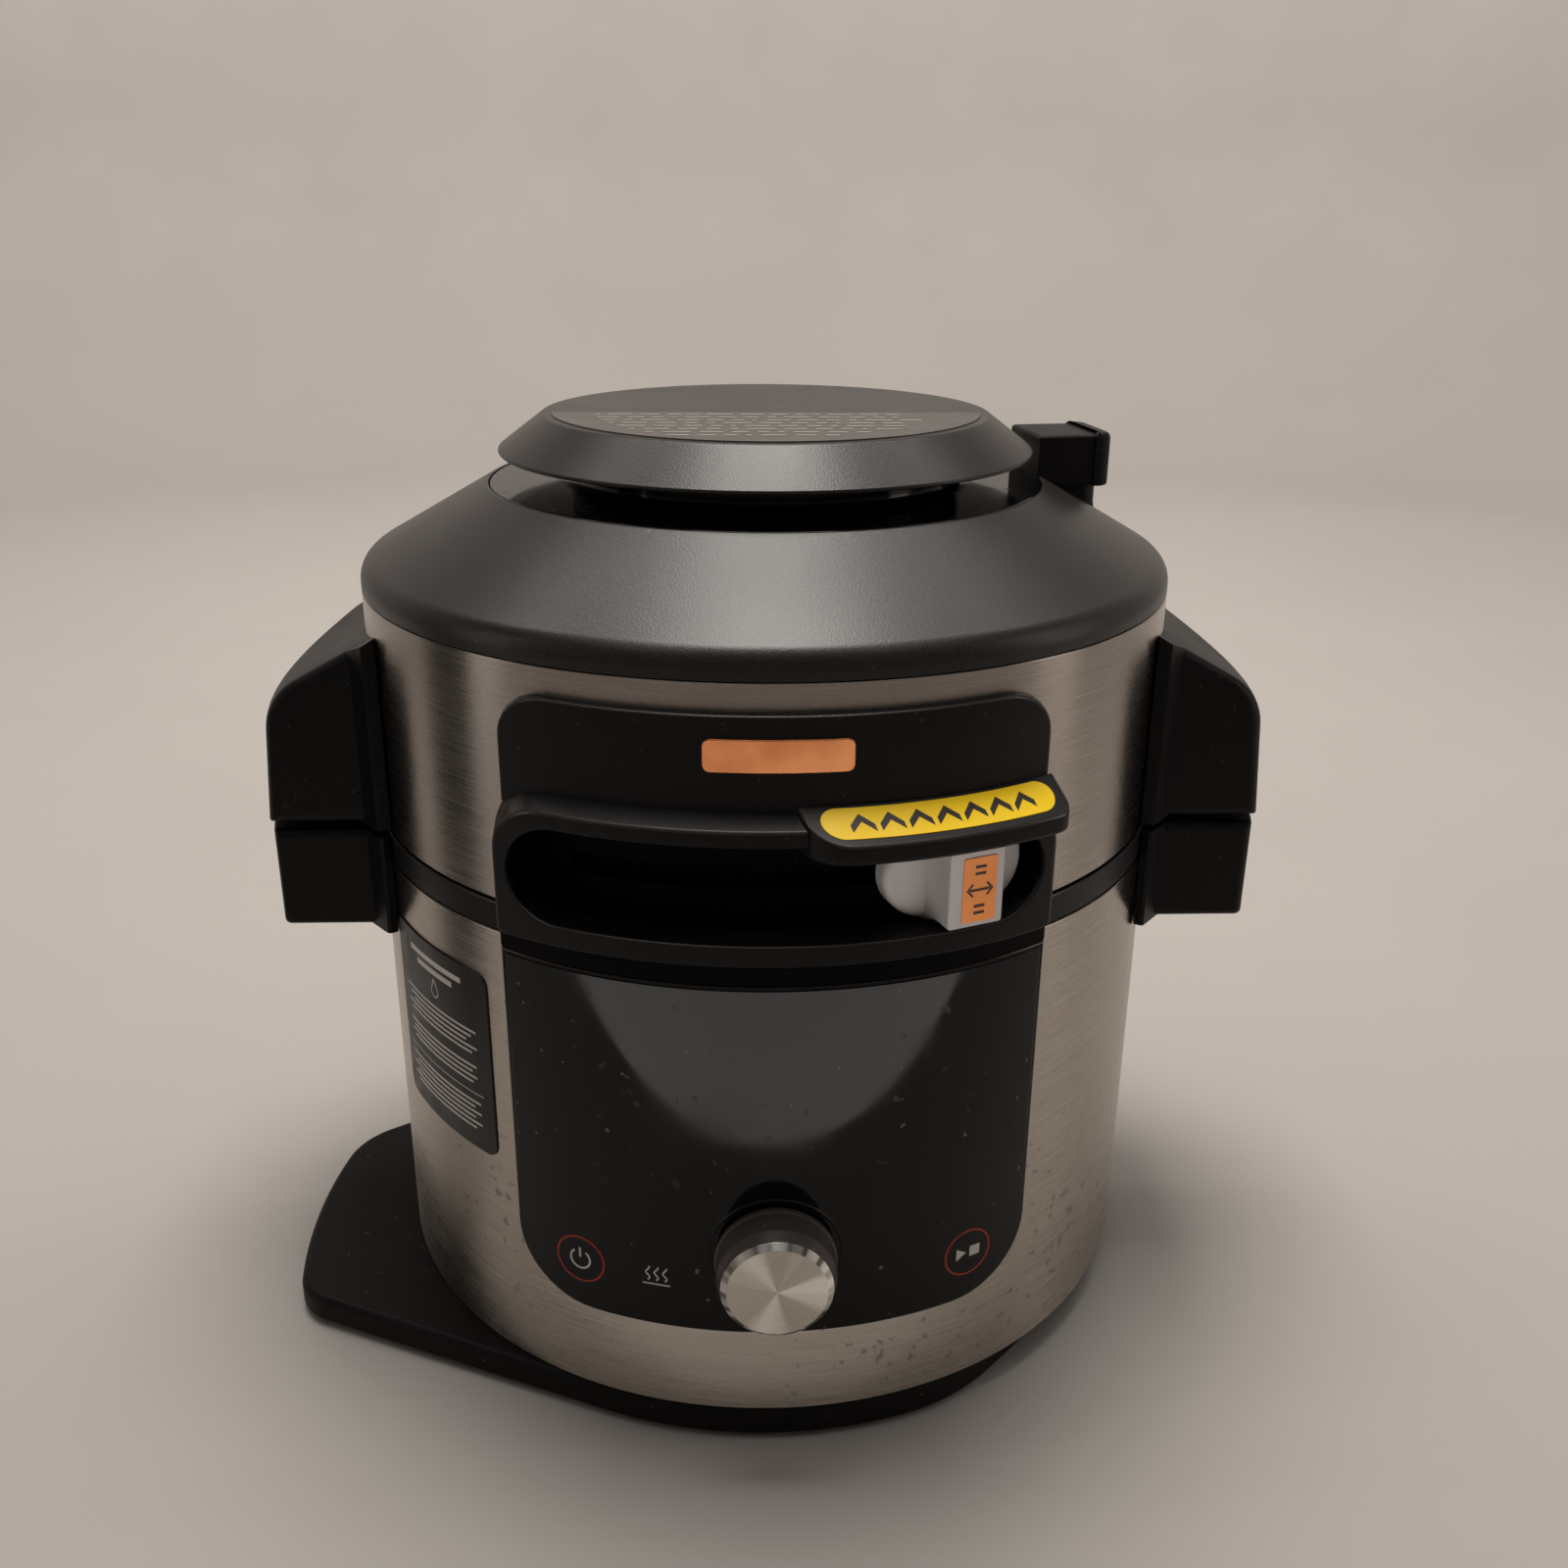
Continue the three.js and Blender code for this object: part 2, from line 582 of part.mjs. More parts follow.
function lidWrap() {
  const band = solid(tube(LID_R - SHEET, LID_R, LID_BOTTOM, BAND_TOP - GAP));
  return piece('lid_wrap', 'steel', band.subtract(trackWindow()));
}

const LID_BODY_R = LID_R - SHEET - GAP - 0.2;

// Moulded wall of the lid behind the steel band, with the flange that closes it underneath.
function lidBody() {
  const inner = LID_BODY_R - PLASTIC;
  const top = BAND_TOP - GAP;
  const [mouth, flange] = [131.5, 1.4];
  const shell = solid(revolve([[mouth, LID_BOTTOM], [LID_BODY_R, LID_BOTTOM], [LID_BODY_R, top],
    [inner, top], [inner, LID_BOTTOM + flange], [mouth, LID_BOTTOM + flange]]));
  return piece('lid_body', 'matteBlack', shell.subtract(trackWindow()));
}

// Conical top cover with a rounded shoulder over the steel band.
function lidCover() {
  const cover = solid(revolve([[LID_R - 5, BAND_TOP], [LID_R, BAND_TOP], [LID_R, 301], [156.8, 305.4],
    [CONE_EDGE.r, CONE_EDGE.z], [CONE_TOP_R, CONE_TOP], [CONE_TOP_R - 1.2, CONE_TOP],
    [CONE_TOP_R - 1.2, CONE_TOP - 3.6], [CONE_EDGE.r - 3, CONE_EDGE.z - 2.2]]));
  return piece('lid_cover', 'charcoal', cover.subtract(ductHole(DUCT_R + 0.8)));
}

// Glossy ring under the cap, with the collar that the cap stands on.
function ventRing() {
  const outer = CONE_TOP_R - 1.6;
  return piece('vent_ring', 'glossBlack', revolve([[66, 329.5], [outer, 329.5], [outer, CONE_TOP],
    [76, CONE_TOP], [76, CAP_BOTTOM - 1.6], [66, CAP_BOTTOM - 1.6]]));
}

function topCap() {
  return piece('top_cap', 'charcoal', revolve([[0, CAP_BOTTOM + 3], [64, CAP_BOTTOM + 3],
    [64, CAP_BOTTOM - 1.2], [96, CAP_BOTTOM - 1.2], [CAP_RIM_R, CAP_BOTTOM + 0.6],
    [CAP_TOP_R + 1, CAP_TOP - 1.4], [CAP_TOP_R - 1.6, CAP_TOP - 0.6], [0, CAP_TOP - 0.6]]));
}

const CAP_LABEL_R = 83;

function capLabel() {
  const half = new THREE.Shape();
  const start = Math.asin(10 / CAP_LABEL_R);
  half.absarc(0, 0, CAP_LABEL_R, Math.PI + start, 2 * Math.PI - start);
  return piece('cap_label', 'labelBlack', upright(half, CAP_TOP - GAP, CAP_TOP, 10));
}

// ---- Lid: front panel, slot track, lift tab and badge -------------------------------------------

const TAB_INNER_R = PANEL_R + GAP;
const TAB_OUTER_R = 177.6;
const TAB_UNDER = 243.6;

// Radial section of the lift tab, grown by the given margin.
function tabSection(margin) {
  const section = polygon([
    [TAB_INNER_R - margin, TAB_UNDER - margin], [TAB_OUTER_R - 3 + margin, TAB_UNDER - margin],
    [TAB_OUTER_R + margin, TAB_UNDER + 1.6], [TAB_OUTER_R + margin, 249.6 + margin],
    [TAB_OUTER_R - 2, 251.4 + margin], [TAB_INNER_R - margin, 258.5 + margin]]);
  return section.getPoints().map((point) => [point.x, point.y]);
}

function tabSolid(margin) {
  const half = TAB_OUTER_R * Math.sin(radians(TAB_SPAN / 2)) + margin;
  const plan = new THREE.Shape();
  const corner = 12;
  plan.moveTo(-half + 4, -150);
  plan.lineTo(-half, -TAB_OUTER_R + corner + 3);
  plan.quadraticCurveTo(-half, -TAB_OUTER_R - 6, -half + 2.2 * corner, -TAB_OUTER_R - 6);
  plan.lineTo(half - corner, -TAB_OUTER_R - 6);
  plan.quadraticCurveTo(half, -TAB_OUTER_R - 6, half, -TAB_OUTER_R + corner);
  plan.lineTo(half - 2, -150);
  const ring = solid(revolve(tabSection(margin)));
  return ring.intersect(solid(upright(plan, 200, 300)));
}

function liftTab() {
  return at(TAB_AZ, piece('lift_tab', 'matteBlack', tabSolid(0)));
}

// Sticker on the tab's sloping top.
function liftLabel() {
  const slope = (258.5 - 251.4) / (TAB_OUTER_R - 2 - TAB_INNER_R);
  const height = (r) => 258.5 - (r - TAB_INNER_R) * slope;
  const [inner, outer] = [TAB_INNER_R + 1.2, TAB_OUTER_R - 3.2];
  const band = solid(revolve([[inner, height(inner) + 0.1], [outer, height(outer) + 0.1],
    [outer, height(outer) + 0.5], [inner, height(inner) + 0.5]]));
  const outline = roundedRect(76, 26, 8, 0, -(TAB_INNER_R + TAB_OUTER_R) / 2 + 4);
  return at(TAB_AZ, piece('lift_label', 'yellow',
    band.intersect(solid(upright(outline, 200, 300))).translate([0, 0, 0.25])));
}

const FRAME_LOW = { x: 91.4, z: 207.9, r: 2.5 };      // centre and radius of its lower corners
const FRAME_HIGH = { x: 76, z: 239, r: 17.5 };        // centre and radius of its upper corners

// Flat upper panel and the raised frame round the slider's slot, as one moulding.
function lidPanel() {
  const panel = wallPatch(LID_R + GAP, PANEL_R, roundedRect(182, 70, 16, 0, 253.5), 240);
  const frameOutline = new THREE.Shape();
  for (const side of [1, -1]) {
    const [from, to] = side > 0 ? [-Math.PI / 2, 0] : [Math.PI / 2, Math.PI];
    const [first, second] = side > 0 ? [FRAME_LOW, FRAME_HIGH] : [FRAME_HIGH, FRAME_LOW];
    frameOutline.absarc(side * first.x, first.z, first.r, from, from + (to - from));
    frameOutline.absarc(side * second.x, second.z, second.r, to, to + Math.PI / 2);
  }
  const frontFrame = solid(facing(frameOutline, -(FRAME_R + 20), 0));
  const back = LID_R + 1;
  const section = revolve([[back, 205.4], [FRAME_R - 1.5, 205.4], [FRAME_R, 207.4], [FRAME_R, 252.2],
    [FRAME_R - 1.2, 253.4], [PANEL_R - 1, 256.9], [back, 256.9]]);
  let panelSolid = panel.add(solid(section).intersect(frontFrame));
  panelSolid = panelSolid.subtract(solid(facing(pill(SLOT_HALF, SLOT_BOTTOM, SLOT_TOP), -200, -100)));
  panelSolid = panelSolid.subtract(solid(disc(BODY_R + 1.4, 180, LID_BOTTOM - 0.6, ROUND)));
  const seat = tabSolid(GAP).rotate([0, 0, TAB_AZ]);
  return piece('lid_panel', 'matteBlack', panelSolid.subtract(seat));
}

// Glossy trough behind the slot, with a slit for the slider's arm.
function slotTrack() {
  const outer = wallPatch(149.5, LID_R, pill(TRACK_HALF, TRACK_BOTTOM, TRACK_TOP));
  const hollow = solid(tube(151.5, LID_R + 5, 0, 300))
    .intersect(solid(facing(pill(TRACK_HALF - 1.2, SLOT_BOTTOM, SLOT_TOP), -200, -100)));
  const slit = solid(facing(roundedRect(138, 8, 2, 0, ARM_Z), -160, -100, 3));
  return piece('slot_track', 'glossBlack', outer.subtract(hollow).subtract(slit));
}

function badgePlate() {
  const outline = roundedRect(48, 11, 2.5, 0, 275.5);
  return piece('badge_plate', 'copper', wallPatch(PANEL_R + GAP, PANEL_R + 1, outline));
}

// ---- Lid: cooking side, fan, heater, valves -------------------------------------------------------

const LINER_R = 121;
const LINER_TOP = 283;
const FLOAT_R = 88;               // distance of the float valve from the axis
const DUCT_R = 6.5;
const DUCT_START_R = 100;
const DUCT_END_R = 122;

const FLOAT_AZ = VENT_AZ + 25;

function onVentLine(geometry, distance, azimuth = VENT_AZ) {
  const angle = radians(azimuth - 90);
  return geometry.translate(distance * Math.cos(angle), distance * Math.sin(angle), 0);
}

function ductHole(radius) {
  return solid(onVentLine(disc(radius, 290, 345, 20), DUCT_END_R));
}

function lidLiner() {
  const wall = 3;
  const [inner, roof] = [LINER_R - wall, LINER_TOP - wall];
  const [lip, lipLow, lipHigh] = [131.2, 217, 219.5];
  const bottom = LID_BOTTOM + 1.2;
  const dome = solid(revolve([[5, roof], [inner - 6, roof], [inner, roof - 6], [inner, bottom],
    [LINER_R, bottom], [LINER_R, lipLow], [lip, lipLow], [lip, lipHigh], [LINER_R, lipHigh],
    [LINER_R, LINER_TOP - 6], [LINER_R - 6, LINER_TOP], [5, LINER_TOP]], MID_ROUND));
  const floatHole = solid(onVentLine(disc(4.4, 270, 300, 20), FLOAT_R, FLOAT_AZ));
  const ductMouth = solid(onVentLine(disc(4.5, 270, 300, 20), DUCT_START_R));
  return piece('lid_liner', 'aluminium', dome.subtract(floatHole).subtract(ductMouth));
}

function sealingGasket() {
  const [inner, outer, top] = [LINER_R + 0.4, 131, 216.6];
  const lips = LID_BOTTOM + 0.2;
  return piece('sealing_gasket', 'silicone', revolve([[inner, lips], [126, lips + 2.4],
    [outer, lips], [outer, top], [inner, top]], MID_ROUND));
}

// Steam duct: up from the liner, outwards under the cone, then up through the cover.
function steamDuct() {
  const start = new THREE.Vector3(0, -DUCT_START_R, LINER_TOP + GAP);
  const path = new THREE.CurvePath();
  const elbowLow = new THREE.Vector3(0, -DUCT_START_R, 300);
  const elbowHigh = new THREE.Vector3(0, -DUCT_END_R, 312);
  const end = new THREE.Vector3(0, -DUCT_END_R, CONE_TOP + 1.5);
  const bend = new THREE.CubicBezierCurve3(elbowLow, new THREE.Vector3(0, -DUCT_START_R, 308),
    new THREE.Vector3(0, -DUCT_END_R, 304), elbowHigh);
  path.add(new THREE.LineCurve3(start, elbowLow));
  path.add(bend);
  path.add(new THREE.LineCurve3(elbowHigh, end));
  const sweep = (radius) => {
    const section = new THREE.Shape();
    section.absarc(0, 0, radius, 0, 2 * Math.PI);
    return solid(new THREE.ExtrudeGeometry(section,
      { steps: 9, curveSegments: 4, bevelEnabled: false, extrudePath: path }));
  };
  const bores = solid(disc(4, LINER_TOP - 5, LINER_TOP + 3, 8).translate(0, -DUCT_START_R, 0))
    .add(solid(disc(4, CONE_TOP - 2, CONE_TOP + 8, 8).translate(0, -DUCT_END_R, 0)));
  const duct = sweep(DUCT_R).subtract(sweep(4)).subtract(bores);
  return at(VENT_AZ, piece('steam_duct', 'aluminium', duct));
}

const VENT_BOTTOM = 329.5;
const VENT_TOP = 350.5;
const VENT_HALF = 18;
const VENT_REACH = 137.6;         // outer face of the vent housing, from the axis

// Everything under the cover's cone, raised by a small clearance.
function belowCone() {
  const slope = (CONE_TOP - CONE_EDGE.z) / (CONE_EDGE.r - CONE_TOP_R);
  const level = (r) => CONE_EDGE.z + (CONE_EDGE.r - r) * slope + 2 * GAP;
  const [inner, outer] = [80, 160];
  return solid(revolve([[0, 290], [outer, 290], [outer, level(outer)], [inner, level(inner)],
    [0, level(inner)]]));
}

// Vent housing on the cover: a rounded box on a pedestal, open low down at its outer end.
function steamVentHousing() {
  const [half, reach, back, corner] = [VENT_HALF, VENT_REACH, 106, 9];
  const plan = new THREE.Shape();
  plan.moveTo(-half, -back);
  plan.lineTo(-half, -reach + corner);
  plan.quadraticCurveTo(-half, -reach, -half + corner, -reach);
  plan.lineTo(half - corner, -reach);
  plan.quadraticCurveTo(half, -reach, half, -reach + corner);
  plan.lineTo(half, -back);
  const box = solid(upright(plan, VENT_BOTTOM, VENT_TOP));
  const pedestal = solid(upright(roundedRect(26, 25, 8, 0, -DUCT_END_R), 300, VENT_BOTTOM + 2));
  const channel = solid(disc(DUCT_R + 0.5, 300, VENT_TOP - 4, 20).translate(0, -DUCT_END_R, 0));
  const outlet = solid(facing(roundedRect(22, 7, 1, 0, VENT_BOTTOM + 7.5), -150, -DUCT_END_R, 3));
  const capSpace = solid(disc(CAP_RIM_R + 1.2, 330, 370, ROUND));
  const housing = box.add(pedestal).subtract(belowCone()).subtract(channel).subtract(outlet);
  return at(VENT_AZ, piece('steam_vent_housing', 'matteBlack', housing.subtract(capSpace)));
}

function antiClogCap() {
  const cap = revolve([[0, 268], [9, 268], [9, 279.6], [7.6, 279.6], [7.6, 269.4], [0, 269.4]], 20);
  return piece('anti_clog_cap', 'polished', onVentLine(cap, DUCT_START_R));
}

function floatValve() {
  const pin = revolve([[0, 271], [7, 271], [7, 274], [3.9, 274], [3.9, 296], [0, 296]], 20);
  return piece('float_valve', 'polished', onVentLine(pin, FLOAT_R, FLOAT_AZ));
}

// Frame plate across the lid: it holds the liner, the motor and the valves to the lid's wall.
function motorPlate() {
  let plate = solid(tube(36, LID_BODY_R - PLASTIC - 0.5, 284, 286));
  plate = plate.subtract(solid(onVentLine(disc(DUCT_R + 0.6, 280, 290, 20), DUCT_START_R)));
  plate = plate.subtract(solid(onVentLine(disc(5, 280, 290, 20), FLOAT_R, FLOAT_AZ)));
  return piece('motor_plate', 'steel', plate);
}

function fanMotor() {
  return piece('fan_motor', 'polished', revolve([[4, 285], [33, 285], [33, 288], [28, 290], [28, 310],
    [24, 313], [4, 313]], SMALL_ROUND));
}

const FAN_SHAFT_R = 3;

function bladedDisc(hubR, tipR, bottom, top, blades, thickness) {
  let wheel = solid(disc(hubR, bottom, top, 24)).add(solid(disc(tipR, bottom, bottom + thickness)));
  for (let i = 0; i < blades; i += 1) {
    const blade = new THREE.BoxGeometry(tipR - hubR + 1, thickness, top - bottom)
      .translate((tipR + hubR - 1) / 2, 0, (top + bottom) / 2)
      .rotateZ((i / blades) * 2 * Math.PI);
    wheel = wheel.add(solid(blade));
  }
  return wheel;
}

function fanImpeller() {
  const wheel = bladedDisc(12, 56, 262, 274, 10, 1.6);
  return piece('fan_impeller', 'aluminium', wheel.add(solid(disc(FAN_SHAFT_R, 270, 314.5, 20))));
}

function coolingFan() {
  const bore = solid(disc(FAN_SHAFT_R + 0.3, 300, 340, 20));
  const wheel = bladedDisc(9, 44, 316, 325, 8, 1.6).subtract(bore);
  return piece('cooling_fan', 'matteBlack', wheel);
}

// Sheathed heating element wound in a flat spiral under the fan.
function heatingCoil() {
  const turns = 2.3;
  class Spiral extends THREE.Curve {
    getPoint(t, target = new THREE.Vector3()) {
      const angle = t * turns * 2 * Math.PI;
      const radius = 66 + 34 * t;
      return target.set(radius * Math.cos(angle), radius * Math.sin(angle), 253);
    }
  }
  const section = new THREE.Shape();
  section.absarc(0, 0, 3.4, 0, 2 * Math.PI);
  return piece('heating_coil', 'heater', new THREE.ExtrudeGeometry(section,
    { steps: 48, curveSegments: 3, bevelEnabled: false, extrudePath: new Spiral() }));
}

function coilGuard() {
  const plate = new THREE.Shape();
  for (let i = 0; i < 4; i += 1) plate.absarc(0, 0, 116.6, i * Math.PI / 2, (i + 1) * Math.PI / 2);
  const rows = [[24, 58, 6], [66, 102, 10]];
  for (const [inner, outer, count] of rows) {
    const half = (Math.PI / count) * 0.55;
    for (let i = 0; i < count; i += 1) {
      const middle = (i / count) * 2 * Math.PI;
      const slot = new THREE.Path();
      slot.absarc(0, 0, inner, middle - half, middle + half, false);
      slot.absarc(0, 0, outer, middle + half, middle - half, true);
      slot.closePath();
      plate.holes.push(slot);
    }
  }
  return piece('coil_guard', 'polished', upright(plate, 243, 244.5, 2));
}

// ---- Slider -----------------------------------------------------------------------------------

const ARM_Z = 229;
const GRIP_R = 172.6;             // front face of the slider's grip
const RING_INNER = 137;
const RING_OUTER = 145.6;

function sliderKnob() {
  const carriage = wallPatch(153.2, 160, pill(26.2, SLOT_BOTTOM + 1, SLOT_TOP - 1.2));
  const grip = solid(facing(roundedRect(20.4, 27.4, 1.2, 0, 228.7), -GRIP_R, -156));
  const arm = solid(facing(roundedRect(14, 5, 1, 0, ARM_Z), -156, -(RING_OUTER + 0.5)));
  return piece('slider_knob', 'silverPlastic', carriage.add(grip).add(arm));
}

function sliderLabel() {
  const outline = roundedRect(12.5, 23, 0.8, 0.8, 228.4);
  return piece('slider_label', 'orange', facing(outline, -GRIP_R - 0.8, -GRIP_R - GAP));
}

// Ring inside the lid that the slider turns; its lugs mark the three lock positions.
function lockingRing() {
  const bottom = LID_BOTTOM + 1.9;
  let ring = solid(tube(RING_INNER, RING_OUTER, bottom, 232));
  for (let i = 0; i < 6; i += 1) {
    const lug = new THREE.BoxGeometry(4, 18, 7).translate(RING_INNER - 1.6, 0, bottom + 4)
      .rotateZ((i / 6) * 2 * Math.PI);
    ring = ring.add(solid(lug));
  }
  return piece('locking_ring', 'polished', ring);
}

// ---- Dial ---------------------------------------------------------------------------------------

function dialKnob() {
  const back = -(BODY_R + 2.3);
  const barrel = solid(frontPin(DIAL_R, -DIAL_SEAT, back, 0, DIAL_Z, ROUND));
  const shaft = solid(frontPin(3, back - 1, -147.5, 0, DIAL_Z, 20));
  return piece('dial_knob', 'matteBlack', barrel.add(shaft));
}

function dialCap() {
  const seat = DIAL_SEAT + GAP;
  const depth = HALF_DEPTH - seat;
  const face = revolve([[0, 0], [DIAL_CAP_R, 0], [DIAL_CAP_R, depth - 1.5],
    [DIAL_CAP_R - 1.4, depth], [0, depth]], ROUND);
  return piece('dial_cap', 'polished', face.rotateX(Math.PI / 2).translate(0, -seat, DIAL_Z));
}

// ---- Assembly -----------------------------------------------------------------------------------

const cooker = new THREE.Group();
cooker.add(
  basePlate(), ...feet(), ...baseScrews(), baseWrap(), innerHousing(), baseRim(), controlPanel(),
  controlBoard(), dialEncoder(), powerBoard(), linerWell(), heaterPlate(), sensorSpring(),
  sensorButton(), cookingPot(), handleBase('handle_base_right', 0), handleBase('handle_base_left', 180),
  at(HINGE_AZ, hingeBracket(), hingePin(), hingeArm()), cordGland(), reminderLabel(),
  collectorBracket(), condensationCup(), dialKnob(), dialCap(),
);
cooker.add(
  lidBody(), lidWrap(), lidCover(), ventRing(), topCap(), capLabel(), lidPanel(), slotTrack(),
  liftTab(), liftLabel(), badgePlate(), steamVentHousing(), steamDuct(), antiClogCap(), floatValve(),
  handleLid('handle_lid_right', 0), handleLid('handle_lid_left', 180), lidLiner(), sealingGasket(),
  motorPlate(), fanMotor(), fanImpeller(), coolingFan(), heatingCoil(), coilGuard(),
  at(SLIDER_AZ, sliderKnob(), sliderLabel(), lockingRing()),
);

export default cooker;
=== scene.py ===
"""Electric pressure cooker with a hinged lid: the visual model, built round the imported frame.

Shapes are drawn in millimetres and scaled to metres when a piece is finished. The origin is on
the body's axis at floor level, the front faces -Y, and an azimuth is measured about Z from the
front, positive towards +X.
"""
import json
import math

import bmesh
import bpy
from mathutils import Matrix, Vector


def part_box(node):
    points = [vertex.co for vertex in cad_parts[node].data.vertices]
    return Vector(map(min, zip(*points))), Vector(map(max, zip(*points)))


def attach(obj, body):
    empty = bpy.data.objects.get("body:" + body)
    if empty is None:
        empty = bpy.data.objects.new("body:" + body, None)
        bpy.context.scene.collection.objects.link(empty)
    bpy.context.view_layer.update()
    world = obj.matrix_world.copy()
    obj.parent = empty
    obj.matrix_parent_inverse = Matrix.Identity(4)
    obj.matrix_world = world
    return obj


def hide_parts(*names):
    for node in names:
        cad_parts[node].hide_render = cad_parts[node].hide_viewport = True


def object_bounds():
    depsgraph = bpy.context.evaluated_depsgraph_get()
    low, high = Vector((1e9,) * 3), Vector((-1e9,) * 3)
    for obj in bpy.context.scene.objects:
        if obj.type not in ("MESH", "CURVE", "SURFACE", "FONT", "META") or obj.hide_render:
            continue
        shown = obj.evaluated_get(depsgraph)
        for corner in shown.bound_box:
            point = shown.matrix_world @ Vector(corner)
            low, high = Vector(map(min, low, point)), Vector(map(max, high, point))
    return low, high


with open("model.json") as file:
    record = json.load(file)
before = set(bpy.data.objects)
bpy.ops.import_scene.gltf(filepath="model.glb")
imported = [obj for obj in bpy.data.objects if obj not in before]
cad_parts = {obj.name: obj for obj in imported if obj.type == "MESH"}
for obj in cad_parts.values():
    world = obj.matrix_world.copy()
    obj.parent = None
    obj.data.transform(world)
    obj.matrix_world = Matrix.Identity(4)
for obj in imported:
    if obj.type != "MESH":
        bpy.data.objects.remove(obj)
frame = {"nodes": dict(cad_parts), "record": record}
cad_low, cad_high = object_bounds()

MM = 0.001
RECORD = frame["record"]
BODY_OF = {node: body for body, nodes in RECORD["behaviour"]["bodies"].items() for node in nodes}


def span(node):
    """Lowest and highest corner of a CAD node, in millimetres."""
    low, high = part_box(node)
    return low / MM, high / MM


# ---- Driving dimensions, from the frame ----------------

BODY_R = span("base_wrap")[1].x
LID_R = span("lid_wrap")[1].x
DRUM_BOTTOM, DRUM_TOP = (corner.z for corner in span("base_wrap"))
RIM_TOP = span("base_rim")[1].z
LID_BOTTOM, BAND_TOP = (corner.z for corner in span("lid_wrap"))
CONE_TOP = span("lid_cover")[1].z
CAP_RIM_R = span("top_cap")[1].x
HALF_WIDTH = cad_high.x / MM
DIAL_LOW, DIAL_HIGH = span("dial_knob")
DIAL_Z = (DIAL_LOW.z + DIAL_HIGH.z) / 2
DIAL_FRONT = -DIAL_LOW.y
DIAL_R = DIAL_HIGH.x

GAP = 0.3                 # clearance between neighbouring pieces
SHEET = 0.8               # steel sheet thickness
CONE_TOP_R = 109.2
CONE_KNEE = 306.2         # height where the cone turns into the steel band
PANEL_R = 162             # front of the flat panel on the lid
FRAME_R = 170             # front of the frame round the slider's slot
SLIDER_AZ = 22
TAB_AZ = 18.5
VENT_AZ = 98.5
REMINDER_AZ = -52.1
SMOOTH = 192              # sides of a turned piece
SMOOTHEST = 256           # sides of the drum, the rim and the lid
JOIN = 1e-4               # distance at which neighbouring points become one
SLICE = 2.5               # width of the strips that a flat shape is cut into before it is bent


# ---- Outlines ----------------

def arc(x, y, radius, start, end, steps):
    """Points on a round arc, from the start angle to the end angle in degrees."""
    angles = [math.radians(start + (end - start) * k / steps) for k in range(steps + 1)]
    return [Vector((x + radius * math.cos(a), y + radius * math.sin(a))) for a in angles]


def rounded(corners, steps=6):
    """Closed outline from (x, y) or (x, y, radius) corners, each radius drawn as an arc."""
    outline = []
    for i, corner in enumerate(corners):
        here = Vector(corner[:2])
        radius = corner[2] if len(corner) > 2 else 0
        if not radius:
            outline.append(here)
            continue
        back = (Vector(corners[i - 1][:2]) - here).normalized()
        ahead = (Vector(corners[(i + 1) % len(corners)][:2]) - here).normalized()
        half = back.angle(ahead) / 2
        centre = here + (back + ahead).normalized() * radius / math.sin(half)
        first = here + back * radius / math.tan(half) - centre
        last = here + ahead * radius / math.tan(half) - centre
        turn = math.atan2(first.x * last.y - first.y * last.x, first.dot(last))
        for k in range(steps + 1):
            angle = turn * k / steps
            outline.append(centre + Matrix.Rotation(angle, 2) @ first)
    return outline


def four_sided(half_width, bottom, top, low_radius=0.0, high_radius=0.0, steps=6, centre=0):
    """Rectangle with its own rounding below and above, counter-clockwise from the lower left."""
    left, right = centre - half_width, centre + half_width
    return rounded([(left, bottom, low_radius), (right, bottom, low_radius),
                    (right, top, high_radius), (left, top, high_radius)], steps)


def box_outline(half_width, bottom, top, radius, centre=0, steps=6):
    """Rectangle with the same rounding at all corners."""
    return four_sided(half_width, bottom, top, radius, radius, steps, centre)


def inset(outline, distance):
    """A counter-clockwise outline moved inwards by the distance."""
    moved = []
    for i, here in enumerate(outline):
        back = (here - outline[i - 1]).normalized()
        ahead = (outline[(i + 1) % len(outline)] - here).normalized()
        normal = Vector((-back.y - ahead.y, back.x + ahead.x)).normalized()
        mitre = normal.dot(Vector((-ahead.y, ahead.x)))
        moved.append(here + normal * distance / max(mitre, 0.3))
    return moved


def stroke(path, width):
    """Outline of a line of the given width along the path."""
    points = [Vector(point) for point in path]
    left, right = [], []
    for i, here in enumerate(points):
        run = (points[min(i + 1, len(points) - 1)] - points[max(i - 1, 0)]).normalized()
        side = Vector((-run.y, run.x)) * width / 2
        left.append(here + side)
        right.append(here - side)
    return right + left[::-1]


def quarter(radius, steps):
    """Pairs (1 - cos, 1 - sin) times the radius, along a quarter of a turn."""
    turns = [math.pi / 2 * k / steps for k in range(steps + 1)]
    return [(radius * (1 - math.cos(a)), radius * (1 - math.sin(a))) for a in turns]


def rounded_edge(bottom, top, low_radius=0.0, high_radius=0.0, steps=4):
    """Layers (inset, height) of a slab whose lower and upper edges are rounded."""
    low = [(by, bottom + rise) for rise, by in quarter(low_radius, steps)]
    high = [(by, top - drop) for by, drop in quarter(high_radius, steps)]
    return (low if low_radius else low[:1]) + (high if high_radius else high[:1])


def lifted(outline, w):
    """The outline's points with a third coordinate."""
    return [Vector((p.x, p.y, w)) for p in outline]


# ---- Solids ----------------

